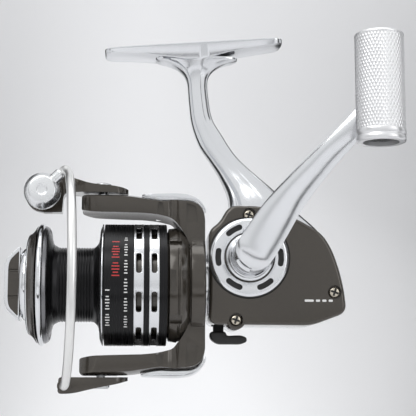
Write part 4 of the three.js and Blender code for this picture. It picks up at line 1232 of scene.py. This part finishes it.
gripBar = makeGripBar(dragSettings)
cutAway(gripBar, rodShape("shaftRoom", "x", -58.2, -50, 2.3))
softenEdges(gripBar, 0.3, 3, 45)
fit(gripBar, "drag", "chrome", ["drag_knob"], 32)
for side, sign in (("Near", -1), ("Far", 1)):
    panel = makeGripPanel(dragSettings, sign)
    panel.name = f"gripPanel{side}"
    fit(panel, "drag", "bronze", ["drag_knob"], 40)
fit(makeDial(), "drag", "bronze", ["drag_knob"], 32)
rim = turnedShape("dragRim", "x", [
    (-53.9, 10.2), (-53.9, 11.7, 0.3), (-55, dragSettings["rim"], 0.6), (-56, 12, 0.5), (-57, 10.9, 0.4),
    (-56.6, 10.3, 0.3), (-55.8, 10.2)],
    sides=192, rounding=0.1)
fit(rim, "drag", "chrome", ["drag_knob_rim"], 40)

# ---- what stays a CAD node gets its slot's finish
slotFinishes = {"polished_aluminium": "polished", "chrome": "chrome", "bronze_plastic": "bronze",
                "black_plastic": "blackPlastic", "black_anodised": "blackAnodised", "steel": "steel",
                "brass": "brass", "zinc": "zinc", "knurled_aluminium": "knurled", "felt": "felt"}
for part in frame["record"]["subparts"]:
    node = frame["nodes"][part["node"]]
    if not node.hide_render:
        node.data.materials.clear()
        node.data.materials.append(finishes[slotFinishes[part["material_slot"]]])
print("knob and inner pieces done")

# ---- backdrop, light and camera
stageSettings = {"floor": -0.235, "depth": 1.1, "back": 0.75, "bend": 0.35, "tall": 1.4, "wide": 2.4}


def makeBackdrop(s):
    profile = [(-s["depth"], s["floor"]), (s["back"] - s["bend"], s["floor"])]
    for i in range(1, 25):
        t = math.pi / 2 * i / 24
        profile.append((s["back"] - s["bend"] + s["bend"] * math.sin(t),
                        s["floor"] + s["bend"] * (1 - math.cos(t))))
    profile.append((s["back"], s["tall"]))
    vertices, faces = [], []
    for y, z in profile:
        vertices += [(-s["wide"], y, z), (s["wide"], y, z)]
    for i in range(len(profile) - 1):
        faces.append((2 * i, 2 * i + 1, 2 * i + 3, 2 * i + 2))
    mesh = bpy.data.meshes.new("backdrop")
    mesh.from_pydata(vertices, [], faces)
    obj = bpy.data.objects.new("backdrop", mesh)
    scene.collection.objects.link(obj)
    for face in mesh.polygons:
        face.use_smooth = True
    mesh.materials.append(makeMoulded("paperSweep", (0.86, 0.86, 0.87), 0.75, 60.0, 0.02))
    return obj


makeBackdrop(stageSettings)
lookAt = Vector((0.0051, 0, -0.0562))


# A card or light is placed round the look-at point by azimuth, elevation and distance
def aimed(obj, azimuth, elevation, distance):
    a, e = math.radians(azimuth), math.radians(elevation)
    offset = Vector((math.sin(a) * math.cos(e), -math.cos(a) * math.cos(e), math.sin(e))) * distance
    obj.location = lookAt + offset
    obj.rotation_euler = (-offset).to_track_quat("-Z", "Y").to_euler()
    return obj


def addLight(name, azimuth, elevation, distance, width, height, power):
    data = bpy.data.lights.new(name, "AREA")
    data.shape = "RECTANGLE"
    data.size, data.size_y = width, height
    data.energy = power
    obj = bpy.data.objects.new(name, data)
    scene.collection.objects.link(obj)
    return aimed(obj, azimuth, elevation, distance)


def addCard(name, azimuth, elevation, distance, width, height, material):
    mesh = bpy.data.meshes.new(name)
    w, h = width / 2, height / 2
    mesh.from_pydata([(-w, -h, 0), (w, -h, 0), (w, h, 0), (-w, h, 0)], [], [(0, 1, 2, 3)])
    obj = bpy.data.objects.new(name, mesh)
    scene.collection.objects.link(obj)
    mesh.materials.append(material)
    obj.visible_camera = False
    return aimed(obj, azimuth, elevation, distance)


addLight("keyLight", -38, 42, 0.9, 0.6, 0.45, 2.2)
addLight("fillLight", 50, 14, 1.0, 0.25, 0.7, 1.0)
addLight("topLight", 0, 84, 0.8, 0.8, 0.4, 1.8)
addLight("rimLight", 150, 30, 0.7, 0.3, 0.5, 0.5)
darkCard = makeMoulded("darkCard", (0.015, 0.015, 0.016), 0.8, 50.0, 0.05)
addCard("leftCard", -64, 4, 0.75, 0.14, 0.8, darkCard)
addCard("rightCard", 82, 4, 0.7, 0.22, 0.8, darkCard)
addCard("leftFlag", -143, 0, 0.5, 0.36, 0.9, darkCard)
addCard("rightFlag", 143, 0, 0.5, 0.36, 0.9, darkCard)
addCard("lowCard", 4, -34, 0.32, 0.7, 0.07, darkCard)

world = bpy.data.worlds.new("studio")
scene.world = world
world.use_nodes = True
tree = world.node_tree
ground = tree.nodes["Background"]
place = addNode(tree, "TexCoord")
parts = addNode(tree, "SeparateXYZ")
ramp = addNode(tree, "ValToRGB")
span = addNode(tree, "MapRange")
span.inputs["From Min"].default_value = -1
tree.links.new(place.outputs["Generated"], parts.inputs[0])
tree.links.new(parts.outputs["Z"], span.inputs["Value"])
tree.links.new(span.outputs["Result"], ramp.inputs["Fac"])
tree.links.new(ramp.outputs["Color"], ground.inputs["Color"])
ramp.color_ramp.elements[0].position = 0.25
ramp.color_ramp.elements[0].color = (0.2, 0.205, 0.215, 1)
ramp.color_ramp.elements[1].position = 0.55
ramp.color_ramp.elements[1].color = (0.94, 0.95, 0.96, 1)
ground.inputs["Strength"].default_value = 0.95

camera = bpy.data.objects.new("camera", bpy.data.cameras.new("camera"))
scene.collection.objects.link(camera)
camera.location = lookAt + Vector((-0.0242, -0.3949, -0.0591))
camera.rotation_euler = (lookAt - camera.location).to_track_quat("-Z", "Y").to_euler()
camera.data.lens = 101.8
camera.data.sensor_width = 36
camera.data.clip_start = 0.01
scene.camera = camera
scene.view_settings.view_transform = "Standard"
print("stage ready")
